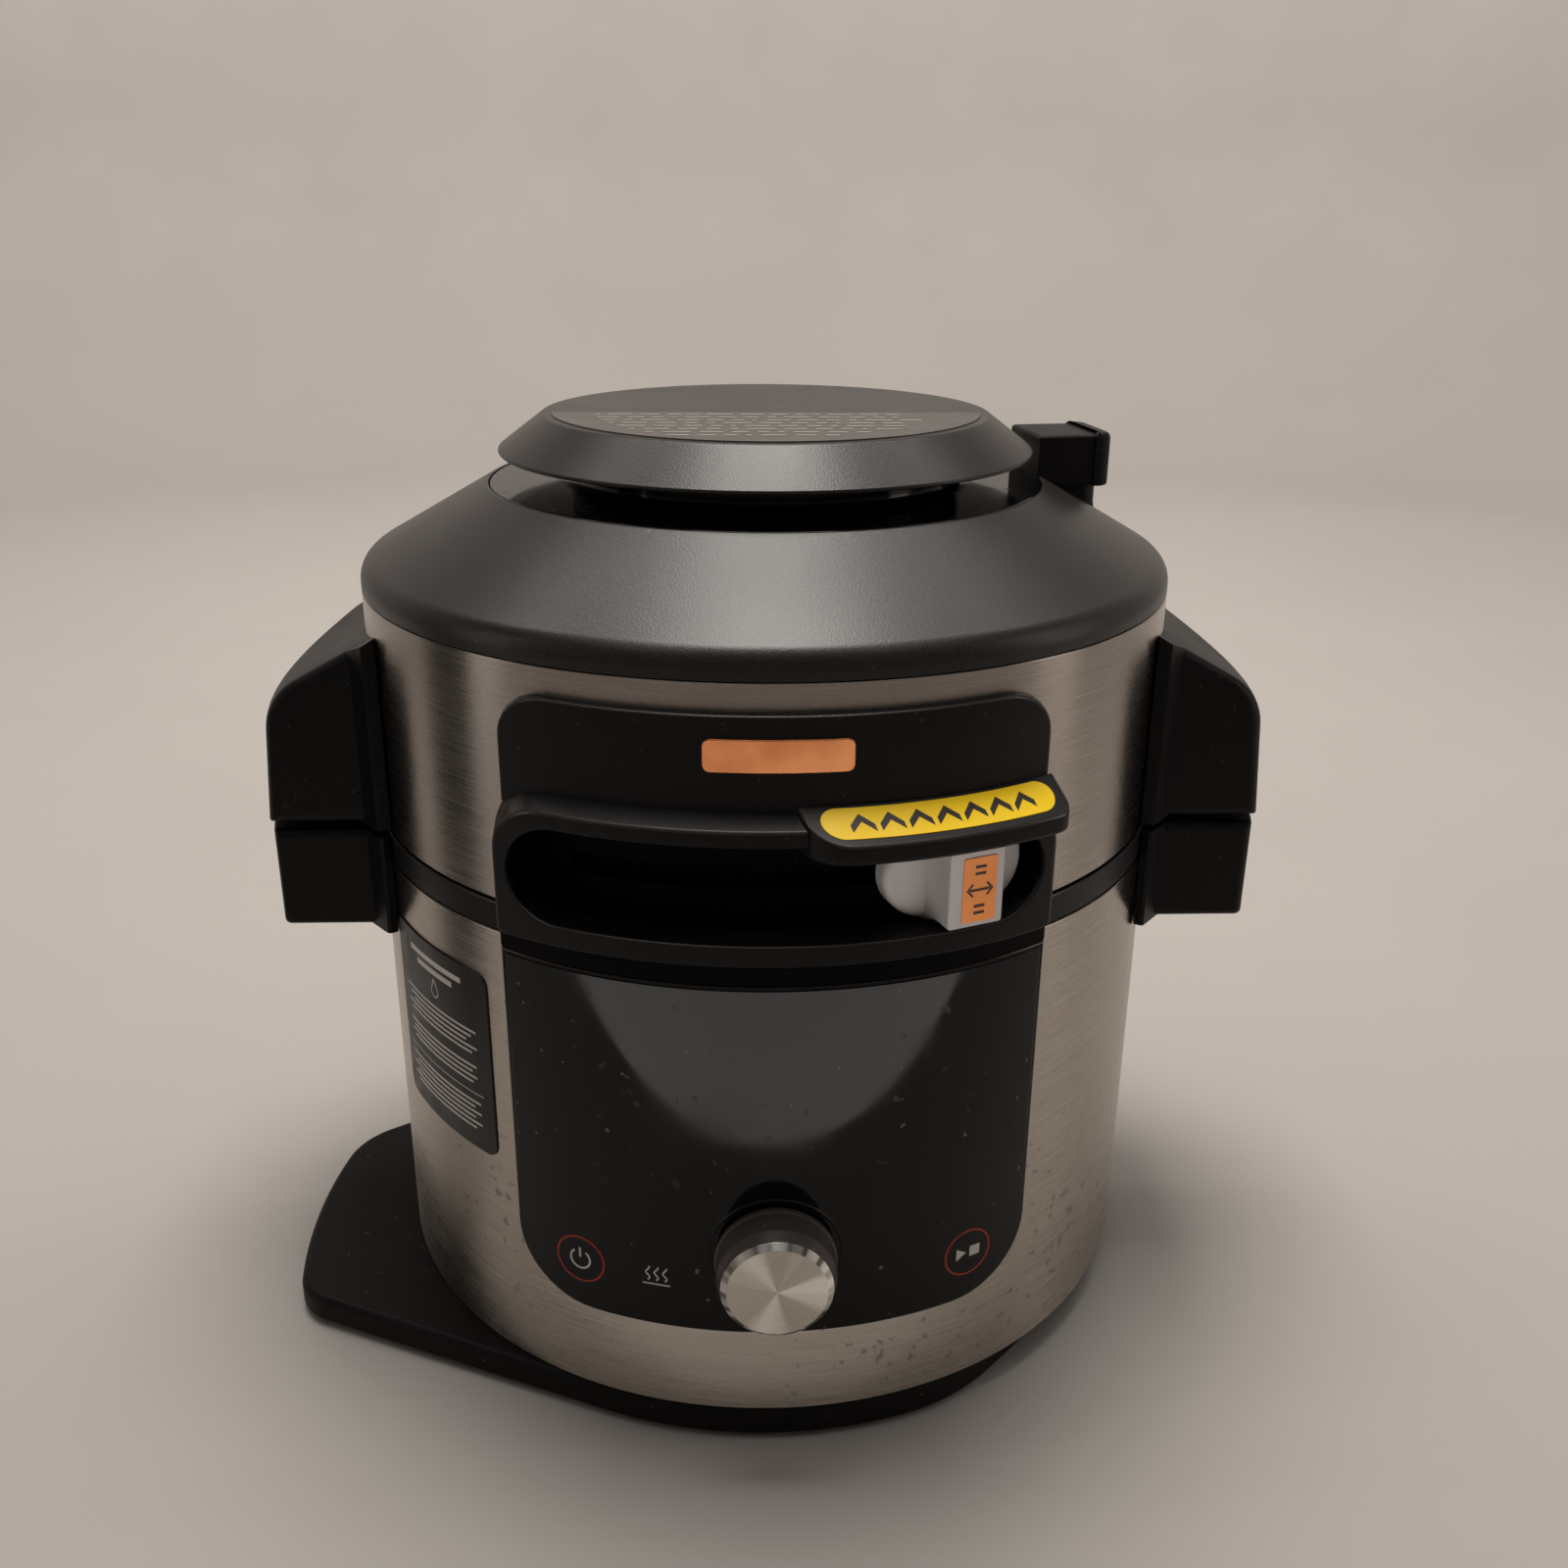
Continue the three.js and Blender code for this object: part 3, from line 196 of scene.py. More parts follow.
def loft(rings, closed=False):
    """Closed mesh through rings of points; open rows of rings are capped at both ends."""
    mesh = bmesh.new()
    rows = [[mesh.verts.new(point) for point in ring] for ring in rings]
    for low, high in zip(rows, rows[1:] + (rows[:1] if closed else [])):
        for i in range(len(low)):
            j = (i + 1) % len(low)
            mesh.faces.new((low[i], low[j], high[j], high[i]))
    if not closed:
        mesh.faces.new(rows[0][::-1])
        mesh.faces.new(rows[-1])
    return mesh


def slab(outline, layers):
    """Solid in (u, v, w) whose outline lies in UV and is inset as each layer (inset, w) says."""
    return loft([lifted(inset(outline, by), w) for by, w in layers])


def bent(mesh, place, step=SLICE):
    """The mesh cut into strips along its first axis, then moved point by point."""
    reach = [v.co.x for v in mesh.verts]
    cut = math.ceil(min(reach) / step) * step
    while cut < max(reach):
        geometry = mesh.verts[:] + mesh.edges[:] + mesh.faces[:]
        bmesh.ops.bisect_plane(mesh, geom=geometry, dist=JOIN, plane_co=(cut, 0, 0),
                               plane_no=(1, 0, 0))
        cut += step
    for vertex in mesh.verts:
        vertex.co = place(*vertex.co)
    return mesh


def turned_to(azimuth, point):
    return Matrix.Rotation(math.radians(azimuth), 3, "Z") @ point


def fronted(azimuth=0):
    """Places (x, z, radius) on the drum as a front view shows it, then turns it."""
    def place(u, v, w):
        return turned_to(azimuth, Vector((u, -math.sqrt(w * w - u * u), v)))
    return place


def flat_front(azimuth):
    """Places (x, z, distance) on a flat plane in front of the axis, then turns it."""
    def place(u, v, w):
        return turned_to(azimuth, Vector((u, -w, v)))
    return place


def spun(mesh, profile, sides):
    """Pairs of neighbouring rows of points that the profile leaves while it turns about Z."""
    rows = []
    for k in range(sides):
        turn = Matrix.Rotation(2 * math.pi * k / sides, 3, "Z")
        rows.append([mesh.verts.new(turn @ Vector((p.x, 0, p.y))) for p in profile])
    return zip(rows, rows[1:] + rows[:1])


def turned(profile, sides=SMOOTH):
    """Solid of revolution about Z; the profile is closed, or starts and ends on the axis."""
    mesh = bmesh.new()
    central = [abs(p.x) < JOIN for p in profile]
    last = len(profile) - 1 if central[0] and central[-1] else len(profile)
    for low, high in spun(mesh, profile, sides):
        for i in range(last):
            j = (i + 1) % len(profile)
            corners = [low[i], high[i], high[j], low[j]]
            if central[i]:
                corners.pop(1)
            if central[j]:
                corners.remove(high[j])
            mesh.faces.new(corners)
    return mesh


def moved(mesh, matrix):
    bmesh.ops.transform(mesh, matrix=matrix, verts=mesh.verts)
    return mesh


def mesh_data(name, mesh):
    """Blender's data for a working mesh, which is used up."""
    data = bpy.data.meshes.new(name)
    mesh.to_mesh(data)
    mesh.free()
    return data


def placed(name, data):
    """A new object in the scene."""
    thing = bpy.data.objects.new(name, data)
    bpy.context.scene.collection.objects.link(thing)
    return thing


def cleaned(mesh):
    """The mesh with double points joined and its faces turned outwards."""
    bmesh.ops.remove_doubles(mesh, verts=mesh.verts, dist=JOIN)
    bmesh.ops.recalc_face_normals(mesh, faces=mesh.faces)
    return mesh


def in_metres(mesh):
    """The cleaned mesh, scaled from millimetres."""
    bmesh.ops.scale(cleaned(mesh), vec=(MM, MM, MM), verts=mesh.verts)
    return mesh


def merged(*meshes):
    """One mesh that holds all the given ones, which are used up."""
    whole = bmesh.new()
    for part in meshes:
        data = mesh_data("part", part)
        whole.from_mesh(data)
        bpy.data.meshes.remove(data)
    return whole


def temporary(mesh):
    return placed("temporary", mesh_data("temporary", cleaned(mesh)))


def carved(mesh, cutter):
    """The mesh with the cutter's space taken out of it."""
    target, tool = temporary(mesh), temporary(cutter)
    modifier = target.modifiers.new("cut", "BOOLEAN")
    modifier.object = tool
    modifier.operation = "DIFFERENCE"
    modifier.solver = "EXACT"
    graph = bpy.context.evaluated_depsgraph_get()
    result = bmesh.new()
    result.from_mesh(bpy.data.meshes.new_from_object(target.evaluated_get(graph)))
    for thing in (target, tool):
        bpy.data.objects.remove(thing)
    return result


def shade(piece, sharp):
    """Smooth shading with crisp edges, led by the large faces."""
    piece.data.shade_smooth()
    piece.data.set_sharp_from_angle(angle=math.radians(sharp))
    modifier = piece.modifiers.new("even_shading", "WEIGHTED_NORMAL")
    modifier.weight = 100
    modifier.keep_sharp = True


def finished(name, mesh, look, node, stands_for=(), sharp=40):
    """Turns a mesh into a piece that rides with the node's body and replaces the listed nodes."""
    piece = placed(name, mesh_data(name, in_metres(mesh)))
    piece.data.materials.append(look)
    shade(piece, sharp)
    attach(piece, BODY_OF[node])
    if stands_for:
        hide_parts(*stands_for)


def remade(node, mesh, look, sharp=40):
    """A finer piece that replaces one CAD node."""
    finished(node + "_fine", mesh, look, node, (node,), sharp)


# ---- Materials ----------------

def srgb(red, green, blue):
    """Linear colour of an 8-bit sRGB one."""
    def linear(level):
        share = level / 255
        return share / 12.92 if share <= 0.04045 else ((share + 0.055) / 1.055) ** 2.4
    return (linear(red), linear(green), linear(blue), 1)


class Look:
    """One procedural material: a Principled shader and the nodes that feed it."""

    def __init__(self, name, **fixed):
        self.material = bpy.data.materials.new(name)
        self.material.use_nodes = True
        self.tree = self.material.node_tree
        self.shader = self.tree.nodes["Principled BSDF"]
        for socket, value in fixed.items():
            self.shader.inputs[socket.replace("_", " ")].default_value = value
        coordinates = self.add("ShaderNodeTexCoord").outputs
        self.place = coordinates["Object"]
        self.normal = coordinates["Normal"]

    def add(self, kind, inputs=(), **settings):
        node = self.tree.nodes.new(kind)
        for key, value in settings.items():
            setattr(node, key, value)
        for key, value in dict(inputs).items():
            if isinstance(value, bpy.types.NodeSocket):
                self.tree.links.new(value, node.inputs[key])
            else:
                node.inputs[key].default_value = value
        return node

    def feed(self, socket, source):
        self.tree.links.new(source, self.shader.inputs[socket])

    def noise(self, scale, detail=3.0, source=None, roughness=0.5):
        inputs = {"Vector": source or self.place, "Scale": scale, "Detail": detail,
                  "Roughness": roughness}
        return self.add("ShaderNodeTexNoise", inputs).outputs[0]

    def vector(self, operation, first, second=(0, 0, 0)):
        node = self.add("ShaderNodeVectorMath", {0: first}, operation=operation)
        if operation == "SCALE":
            node.inputs["Scale"].default_value = second
        elif isinstance(second, bpy.types.NodeSocket):
            self.tree.links.new(second, node.inputs[1])
        else:
            node.inputs[1].default_value = second
        return node.outputs["Value" if operation == "LENGTH" else "Vector"]

    def remap(self, value, low, high, to_low=0.0, to_high=1.0):
        inputs = {"Value": value, "From Min": low, "From Max": high, "To Min": to_low,
                  "To Max": to_high}
        return self.add("ShaderNodeMapRange", inputs).outputs[0]

    def math(self, operation, first, second=0.0):
        return self.add("ShaderNodeMath", {0: first, 1: second}, operation=operation).outputs[0]

    def mix(self, factor, first, second):
        node = self.add("ShaderNodeMix", {0: factor, 6: first, 7: second}, data_type="RGBA")
        return node.outputs[2]

    def surface(self, colour, roughness, height=None, strength=0.0, distance=0.0):
        """Feeds the shader its colour, its roughness and a bump that follows the height."""
        self.feed("Base Color", colour)
        self.feed("Roughness", roughness)
        if height:
            bump = {"Height": height, "Strength": strength, "Distance": distance}
            self.feed("Normal", self.add("ShaderNodeBump", bump).outputs[0])
        return self.material

    def brushed_about(self, axis):
        """Sets the direction of the brushing to rings about the axis."""
        tangent = self.add("ShaderNodeTangent", direction_type="RADIAL", axis=axis)
        self.feed("Tangent", tangent.outputs[0])

    def specks(self, scale, level):
        """Mask of small spots, which show where the noise is above the level."""
        return self.remap(self.noise(scale, 1.0), level, level + 0.04)

    def upward_edge_highlight(self):
        """Mask of rounded edges that face upwards, where a painted highlight is laid."""
        up = self.add("ShaderNodeSeparateXYZ", {0: self.normal}).outputs[2]
        return self.math("MINIMUM", self.remap(up, 0.3, 0.42), self.remap(up, 0.86, 0.78))

    def scratches(self, scale, width, cover):
        """Mask of thin wandering lines, kept only where a slower noise is high."""
        line = self.math("ABSOLUTE", self.math("SUBTRACT", self.noise(scale, 2.0), 0.5))
        thin = self.remap(line, 0.0, width, 1.0, 0.0)
        patch = self.remap(self.noise(scale / 5, 2.0), cover, cover + 0.08)
        return self.math("MULTIPLY", thin, patch)


def moulded(name, colour, roughness, grain=0.25, dust=0.25, scale=1500, gloss=0.2, edge_highlight=0.0):
    """Moulded plastic with a fine grain, dust, uneven gloss and, if asked, a painted highlight on
    its upward-facing rounded edges.
    """
    look = Look(name, Specular_IOR_Level=gloss)
    cloud = look.noise(16, 4.0)
    lighter = tuple(min(1, level * 1.4 + 0.002) for level in colour[:3]) + (1,)
    tone = look.mix(look.remap(cloud, 0.35, 0.7, 0.0, 0.5), colour, lighter)
    marks = look.math("MAXIMUM", look.specks(420, 0.74), look.scratches(55, 0.0025, 0.6))
    tone = look.mix(look.math("MULTIPLY", marks, dust), tone, srgb(150, 142, 134))
    dull = look.remap(cloud, 0.3, 0.7, roughness - 0.06, roughness + 0.08)
    if edge_highlight:
        # Painted highlight: upward-facing rounded edges get a lighter colour, turn metallic and
        # less rough, to stand for the light they catch from above.
        edge = look.math("MULTIPLY", look.upward_edge_highlight(), edge_highlight)
        tone = look.mix(edge, tone, srgb(84, 79, 76))
        dull = look.math("SUBTRACT", dull, look.math("MULTIPLY", edge, 0.2))
        look.feed("Metallic", edge)
    return look.surface(tone, dull, look.noise(scale, 2.0), grain, 0.00015)


def charcoal(name):
    """Spark-textured charcoal moulding with a fine speckle and faint scuffs."""
    look = Look(name, Specular_IOR_Level=0.4)
    fine = look.noise(1400, 2.0)
    tone = look.mix(look.remap(fine, 0.35, 0.68), srgb(20, 18, 18), srgb(40, 36, 35))
    cloud = look.noise(11, 4.0)
    tone = look.mix(look.remap(cloud, 0.4, 0.75, 0.0, 0.3), tone, srgb(48, 44, 43))
    marks = look.math("MAXIMUM", look.scratches(34, 0.0018, 0.62), look.specks(260, 0.8))
    tone = look.mix(look.math("MULTIPLY", marks, 0.16), tone, srgb(170, 162, 155))
    return look.surface(tone, look.remap(cloud, 0.3, 0.7, 0.3, 0.38), fine, 0.35, 0.0002)


def piano_black(name):
    """Glossy black with fingerprints, dried droplets and dust."""
    look = Look(name, Specular_IOR_Level=0.2)
    cloud = look.noise(26, 5.0)
    dust = look.math("MAXIMUM", look.specks(300, 0.76), look.scratches(90, 0.0014, 0.64))
    tone = look.mix(look.math("MULTIPLY", dust, 0.22), srgb(6, 6, 7), srgb(150, 145, 140))
    droplets = look.math("MULTIPLY", look.specks(150, 0.7), 0.2)
    dull = look.math("ADD", look.remap(cloud, 0.4, 0.75, 0.05, 0.14), droplets)
    return look.surface(tone, dull, look.noise(9, 1.0), 0.03, 0.002)


def round_streaks(look, around, fineness):
    """Noise drawn out round the Z axis, as brushing leaves it on a drum."""
    flat = look.vector("NORMALIZE", look.vector("MULTIPLY", look.place, (1, 1, 0)))
    ring = look.vector("SCALE", flat, around)
    up = look.vector("MULTIPLY", look.place, (0, 0, fineness))
    return look.noise(1.0, 3.0, look.vector("ADD", ring, up), 0.6)


def brushed_steel(name, low, high, stained=0.0):
    """Steel sheet brushed round the drum, with stains near the floor if it has any."""
    look = Look(name, Metallic=1.0, Anisotropic=0.92, Anisotropic_Rotation=0.25)
    look.brushed_about("Z")
    fine = round_streaks(look, 5.0, 3200.0)
    broad = round_streaks(look, 1.6, 420.0)
    tone = look.mix(look.remap(fine, 0.3, 0.7), low, high)
    tone = look.mix(look.remap(broad, 0.35, 0.7, 0.0, 0.2), tone, low)
    if stained:
        spots = look.math("MULTIPLY", look.specks(230, 0.66), look.remap(look.noise(9), 0.42, 0.6))
        tone = look.mix(look.math("MULTIPLY", spots, stained), tone, srgb(92, 78, 66))
    smears = look.remap(look.noise(13, 4.0), 0.4, 0.7, 0, 0.06)
    dull = look.math("ADD", look.remap(fine, 0.3, 0.7, 0.2, 0.3), smears)
    return look.surface(tone, dull, fine, 0.12, 0.00006)


def spun_metal(name, centre):
    """Metal face turned on a lathe about Y, with fine rings, painted radial highlight fans, and a
    cut edge painted with patchy bright and dark reflections.
    """
    look = Look(name, Metallic=1.0, Anisotropic=0.94, Anisotropic_Rotation=0.25)
    look.brushed_about("Y")
    away = look.vector("MULTIPLY", look.vector("SUBTRACT", look.place, centre), (1, 0, 1))
    distance = look.math("MULTIPLY", look.vector("LENGTH", away), 5200.0)
    rings = look.noise(1.0, 3.0, look.add("ShaderNodeCombineXYZ", {0: distance}).outputs[0])
    tone = look.mix(look.remap(rings, 0.3, 0.7), srgb(176, 170, 160), srgb(206, 201, 192))
    # Painted highlight: bright fans that change with the angle round the dial's centre.
    painted_highlight_fans = look.noise(1.7, 0.0, look.vector("NORMALIZE", away))
    tone = look.mix(look.remap(painted_highlight_fans, 0.42, 0.68), tone, srgb(244, 240, 232))
    # Painted reflection: the chamfered edge gets patches of near-white and dark grey, as a
    # mirror-like cut would reflect.
    level = look.add("ShaderNodeSeparateXYZ", {0: look.normal}).outputs["Y"]
    edge = look.remap(look.math("ABSOLUTE", level), 0.9, 0.8)
    patches = look.noise(3.4, 1.0, look.vector("NORMALIZE", away))
    painted_reflection = look.mix(look.remap(patches, 0.4, 0.56), srgb(120, 113, 106), srgb(252, 250, 246))
    dull = look.remap(rings, 0.3, 0.7, 0.2, 0.34)
    return look.surface(look.mix(edge, tone, painted_reflection), dull, rings, 0.15, 0.00005)


def metal(name, low, high, roughness, grain=900):
    """Plain metal with an uneven surface."""
    look = Look(name, Metallic=1.0)
    cloud = look.noise(45, 4.0)
    tone = look.mix(look.remap(cloud, 0.35, 0.7), low, high)
    dull = look.remap(cloud, 0.3, 0.7, roughness - 0.05, roughness + 0.08)
    return look.surface(tone, dull, look.noise(grain, 2.0), 0.12, 0.0001)


def pot_coating(name):
    """Dark ceramic non-stick coating with a fine mineral fleck."""
    look = Look(name, Specular_IOR_Level=0.5)
    fleck = look.math("MULTIPLY", look.specks(900, 0.66), 0.5)
    tone = look.mix(fleck, srgb(44, 44, 46), srgb(150, 148, 146))
    dull = look.remap(look.noise(30), 0.3, 0.7, 0.36, 0.48)
    return look.surface(tone, dull, look.noise(700, 2.0), 0.15, 0.0002)


def sticker(name, colour, roughness=0.42, dirt=0.2, gloss=0.25):
    """Printed film with slight grime and a faint ripple."""
    look = Look(name, Specular_IOR_Level=gloss)
    grime = look.remap(look.noise(60, 5.0), 0.5, 0.8, 0.0, dirt)
    darker = tuple(level * 0.6 for level in colour[:3]) + (1,)
    tone = look.mix(grime, colour, darker)
    dull = look.remap(look.noise(90), 0.3, 0.7, roughness - 0.06, roughness + 0.08)
    return look.surface(tone, dull, look.noise(220, 2.0), 0.06, 0.0002)


def circuit_board(name):
    """Green board with copper tracks under its varnish."""
    look = Look(name, Specular_IOR_Level=0.5)
    cells = look.add("ShaderNodeTexVoronoi", {"Vector": look.place, "Scale": 260.0},
                     distance="MANHATTAN", feature="DISTANCE_TO_EDGE").outputs[0]
    tone = look.mix(look.remap(cells, 0.05, 0.09), srgb(60, 120, 70), srgb(24, 74, 42))
    dull = look.remap(look.noise(80), 0.3, 0.7, 0.3, 0.5)
    return look.surface(tone, dull, cells, 0.2, 0.0003)


def floor_look(name):
    """Plain pale studio floor."""
    look = Look(name, Specular_IOR_Level=0.3)
    tone = look.mix(look.noise(3, 4.0), srgb(172, 167, 163), srgb(180, 175, 171))
    return look.surface(tone, look.remap(look.noise(8), 0.3, 0.7, 0.55, 0.7))


BLACK = moulded("matte_black", srgb(13, 12, 13), 0.42, dust=0.1, gloss=0.16)
# edged_black and rim_black carry a painted highlight on their upward-facing rounded edges.
EDGED_BLACK = moulded("edged_black", srgb(19, 18, 19), 0.42, dust=0.1, gloss=0.2, edge_highlight=0.9)
# The dial's black is lightened to a dark grey as painted light, making up for the lid's shade over
# the barrel.
DIAL_BLACK = moulded("dial_black", srgb(66, 59, 58), 0.36, dust=0.5, gloss=0.5)
BASE_BLACK = moulded("base_black", srgb(15, 13, 13), 0.5, dust=0.18, gloss=0.14)
RIM_BLACK = moulded("rim_black", srgb(15, 15, 17), 0.38, grain=0.12, dust=0.08, gloss=0.2, edge_highlight=0.9)
# Near-black that stands for shade: the apron under the slot frame, the slot's trough and the
# locking ring seen through the slit are painted with it.
PAINTED_SHADE_BLACK = moulded("painted_shade_black", srgb(5, 5, 6), 0.5, dust=0.04, gloss=0.06)
HIDDEN_BLACK = moulded("inner_black", srgb(32, 31, 31), 0.6)
CHARCOAL = charcoal("charcoal")
GLOSS = piano_black("gloss_black")
LID_STEEL = brushed_steel("lid_steel", srgb(152, 143, 136), srgb(182, 172, 165))
BASE_STEEL = brushed_steel("base_steel", srgb(156, 147, 138), srgb(188, 179, 169), stained=0.5)
PLATE_STEEL = metal("plate_steel", srgb(160, 156, 150), srgb(190, 186, 180), 0.35)
CAP_METAL = spun_metal("spun_cap", (0, 0, DIAL_Z * MM))
POLISHED = metal("polished_steel", srgb(196, 192, 186), srgb(220, 217, 212), 0.16)
ALUMINIUM = metal("aluminium", srgb(150, 150, 149), srgb(180, 180, 178), 0.4)
COATING = pot_coating("pot_coating")
SILVER = moulded("silver_plastic", srgb(152, 147, 146), 0.34, grain=0.1, dust=0.1, scale=2200)
RUBBER = moulded("rubber", srgb(33, 33, 33), 0.8, grain=0.4)
SILICONE = moulded("silicone", srgb(206, 202, 194), 0.5, grain=0.1, dust=0.1)
BOARD = circuit_board("circuit_board")
YELLOW = sticker("yellow_sticker", srgb(255, 212, 0), dirt=0.1)
ORANGE = sticker("orange_sticker", srgb(212, 128, 62), dirt=0.3)
LABEL = sticker("label_black", srgb(34, 33, 34), 0.38, dirt=0.3)
INK = sticker("dark_ink", srgb(40, 30, 22), dirt=0.2)
WHITE = sticker("white_print", srgb(206, 202, 196), dirt=0.25)
CAP_PRINT = sticker("cap_print", srgb(150, 145, 140), dirt=0.3)
CAP_FILM = sticker("cap_film", srgb(78, 73, 69), 0.4, dirt=0.15, gloss=0.5)
RED = sticker("red_print", srgb(168, 52, 40), dirt=0.15)
COPPER = metal("copper_badge", srgb(150, 92, 58), srgb(188, 128, 84), 0.42, 500)
HEATER = metal("heater_metal", srgb(78, 77, 74), srgb(104, 102, 98), 0.55)
COIL = metal("dark_coil", srgb(70, 66, 62), srgb(96, 90, 84), 0.5)


# ---- Base: plate, drum and rim ----------------

PLATE_FRONT_R = 160
PLATE_REAR_R = 151.8
PLATE_FLAT_AZ = 45.8      # outward azimuth of the plate's straight edge on the right
PLATE_EASE = 6.4          # degrees that the rounding takes on each side of its corner
PLATE_REAR_END = 158      # angle from +X at which the plate's rear meets the lobe
LOBE_AZ = -24.1           # outward azimuth of the lobe's straight front edge
LOBE_FRONT_CORNER = (-174.6, -73.1, 22)
LOBE_REAR_CORNER = (-161.5, 1, 35)
LOBE_REAR_START = 122     # angle from +X at which the rear corner's arc starts
LOBE_BOW = 10             # turn of the lobe's bowed side between its middle and its ends
LOBE_BOW_CONTROL = Vector((-203.6, -34.9))


def bend(start, control, end, steps):
    """Points inside the smooth curve that runs from start to end past its control point."""
    turns = [k / steps for k in range(1, steps)]
    return [(1 - t) ** 2 * start + 2 * t * (1 - t) * control + t * t * end for t in turns]


def base_plate():
    """Round plate with one straight edge on the right and a bowed lobe on the left."""
    low, high = span("base_plate")
    flat_half = math.degrees(math.acos(PLATE_REAR_R / PLATE_FRONT_R))
    corner = PLATE_FLAT_AZ - flat_half
    control = arc(0, 0, PLATE_FRONT_R, corner - 90, corner, 1)[0]
    front = arc(0, 0, PLATE_FRONT_R, LOBE_AZ - 90, corner - PLATE_EASE - 90, 40)
    rear = arc(0, 0, PLATE_REAR_R, PLATE_FLAT_AZ - 90, PLATE_REAR_END, 110)
    ease = (flat_half - PLATE_EASE) / flat_half
    eased = rear[0].lerp(control, ease)
    lobe_rear = arc(*LOBE_REAR_CORNER, LOBE_REAR_START, 180 - LOBE_BOW, 16)
    lobe_front = arc(*LOBE_FRONT_CORNER, 180 + LOBE_BOW, LOBE_AZ + 270, 14)
    side = bend(lobe_rear[-1], LOBE_BOW_CONTROL, lobe_front[0], 16)
    outline = front + bend(front[-1], control, eased, 12) + [eased] + rear
    outline += lobe_rear + side + lobe_front
    plate = slab(outline, rounded_edge(low.z, high.z, 1.5, 3.2, 6))
    remade("base_plate", plate, BASE_BLACK)


def turned_in_place(node, profile, look, sides=64):
    """Remakes a round node that stands off the axis, from a profile about its own middle."""
    low, high = span(node)
    middle = Matrix.Translation(((low.x + high.x) / 2, (low.y + high.y) / 2, 0))
    remade(node, moved(turned(rounded(profile), sides), middle), look)


def turned_on_axis(node, profile, look, sides=SMOOTH, steps=6):
    """Remakes a round node that stands on the axis."""
    remade(node, turned(rounded(profile, steps), sides), look)


def feet_and_screws():
    for node in sorted(frame["nodes"]):
        low, high = span(node)
        if node.startswith("foot_"):
            radius = (high.x - low.x) / 2
            foot = [(0, low.z), (radius - 3, low.z), (radius - 2.4, low.z + 0.5),
                    (radius, low.z + 0.5, 0.6), (radius, high.z), (0, high.z)]
            turned_in_place(node, foot, RUBBER, 48)
        elif node.startswith("base_screw"):
            shank, recess = 1.8, 1.6
            head = [(0, low.z + recess), (1.5, low.z + recess), (1.7, low.z), (4, low.z, 0.6),
                    (4, low.z + 3, 0.3), (shank, low.z + 3.4), (shank, high.z), (0, high.z)]
            turned_in_place(node, head, POLISHED, 40)


def steel_wall(radius, bottom, top):
    """Profile of a round steel sheet with eased outer edges."""
    inner = radius - SHEET
    return rounded([(inner, bottom), (radius, bottom, 0.35), (radius, top, 0.35), (inner, top)], 3)


def drum():
    remade("base_wrap", turned(steel_wall(BODY_R, DRUM_BOTTOM, DRUM_TOP), SMOOTHEST), BASE_STEEL)


CONTROL_HALF = 95
CONTROL_CORNER = 28
BEZEL_FRONT = BODY_R + 1.45
GLASS_FRONT = BODY_R + 1.8
RIM_INNER_R = 128
RIM_LEDGE_R = 134         # outer edge of the ledge that the cooking pot's flange rests in
RIM_LEDGE_DEPTH = 2.9
APRON_TOP = 202.5         # top of the rim's part above the control panel


def control_outline(margin):
    """Control panel's outline: square upper corners and large lower ones."""
    low, high = span("control_panel")
    return four_sided(CONTROL_HALF - margin, low.z + margin, high.z - margin,
                      CONTROL_CORNER - margin, 0.6, 12)


def base_rim():
    low, high = span("base_rim")
    seam, outer, ledge = DRUM_TOP + GAP, BODY_R - 0.4, high.z - RIM_LEDGE_DEPTH
    band = [(RIM_INNER_R, seam), (outer, seam, 0.4), (outer, high.z, 0.9),
            (RIM_LEDGE_R, high.z, 0.5), (RIM_LEDGE_R, ledge), (RIM_INNER_R, ledge)]
    apron = box_outline(CONTROL_HALF, low.z, APRON_TOP, 0.8)
    front = bent(slab(apron, rounded_edge(BODY_R - 1.5, BODY_R + 1.6, 0, 0.5)), fronted())
    turned_on_axis("base_rim", band, RIM_BLACK, SMOOTHEST)
    # The apron above the control panel is painted near-black as the shade under the slot frame.
    finished("rim_apron", front, PAINTED_SHADE_BLACK, "base_rim")


def control_panel():
    bezel = slab(control_outline(0), rounded_edge(BODY_R + 0.1, BEZEL_FRONT, 0, 1))
    remade("control_panel", bent(bezel, fronted()), RIM_BLACK)
    glass = slab(control_outline(1.5), rounded_edge(BEZEL_FRONT - 0.3, GLASS_FRONT, 0, 0.25, 3))
    finished("control_glass", bent(glass, fronted()), GLOSS, "control_panel")


# ---- Base: marks on the control panel ----------------

MARK_LOW = BODY_R + 1.75  # back and front of the print on the glass
MARK_HIGH = BODY_R + 1.9
POWER_MARK = (-26.3, 72.5)  # azimuth and height of each mark's middle
START_MARK = (26.6, 72.0)
WARM_MARK = (-15.5, 73.7)
RING_MARK_R = 10


def printed(outlines, place, low=MARK_LOW, high=MARK_HIGH):
    """Thin printed shapes on a surface, as one mesh."""
    return merged(*[bent(slab(outline, [(0, low), (0, high)]), place) for outline in outlines])


def ring_mark(z, place):
    """Thin printed circle."""
    outer, inner, sides = RING_MARK_R, RING_MARK_R - 0.75, 64
    corners = ((outer, MARK_LOW), (outer, MARK_HIGH), (inner, MARK_HIGH), (inner, MARK_LOW))
    rings = [lifted(arc(0, z, r, 0, 360 - 360 / sides, sides - 1), w) for r, w in corners]
    return bent(loft(rings, closed=True), place)


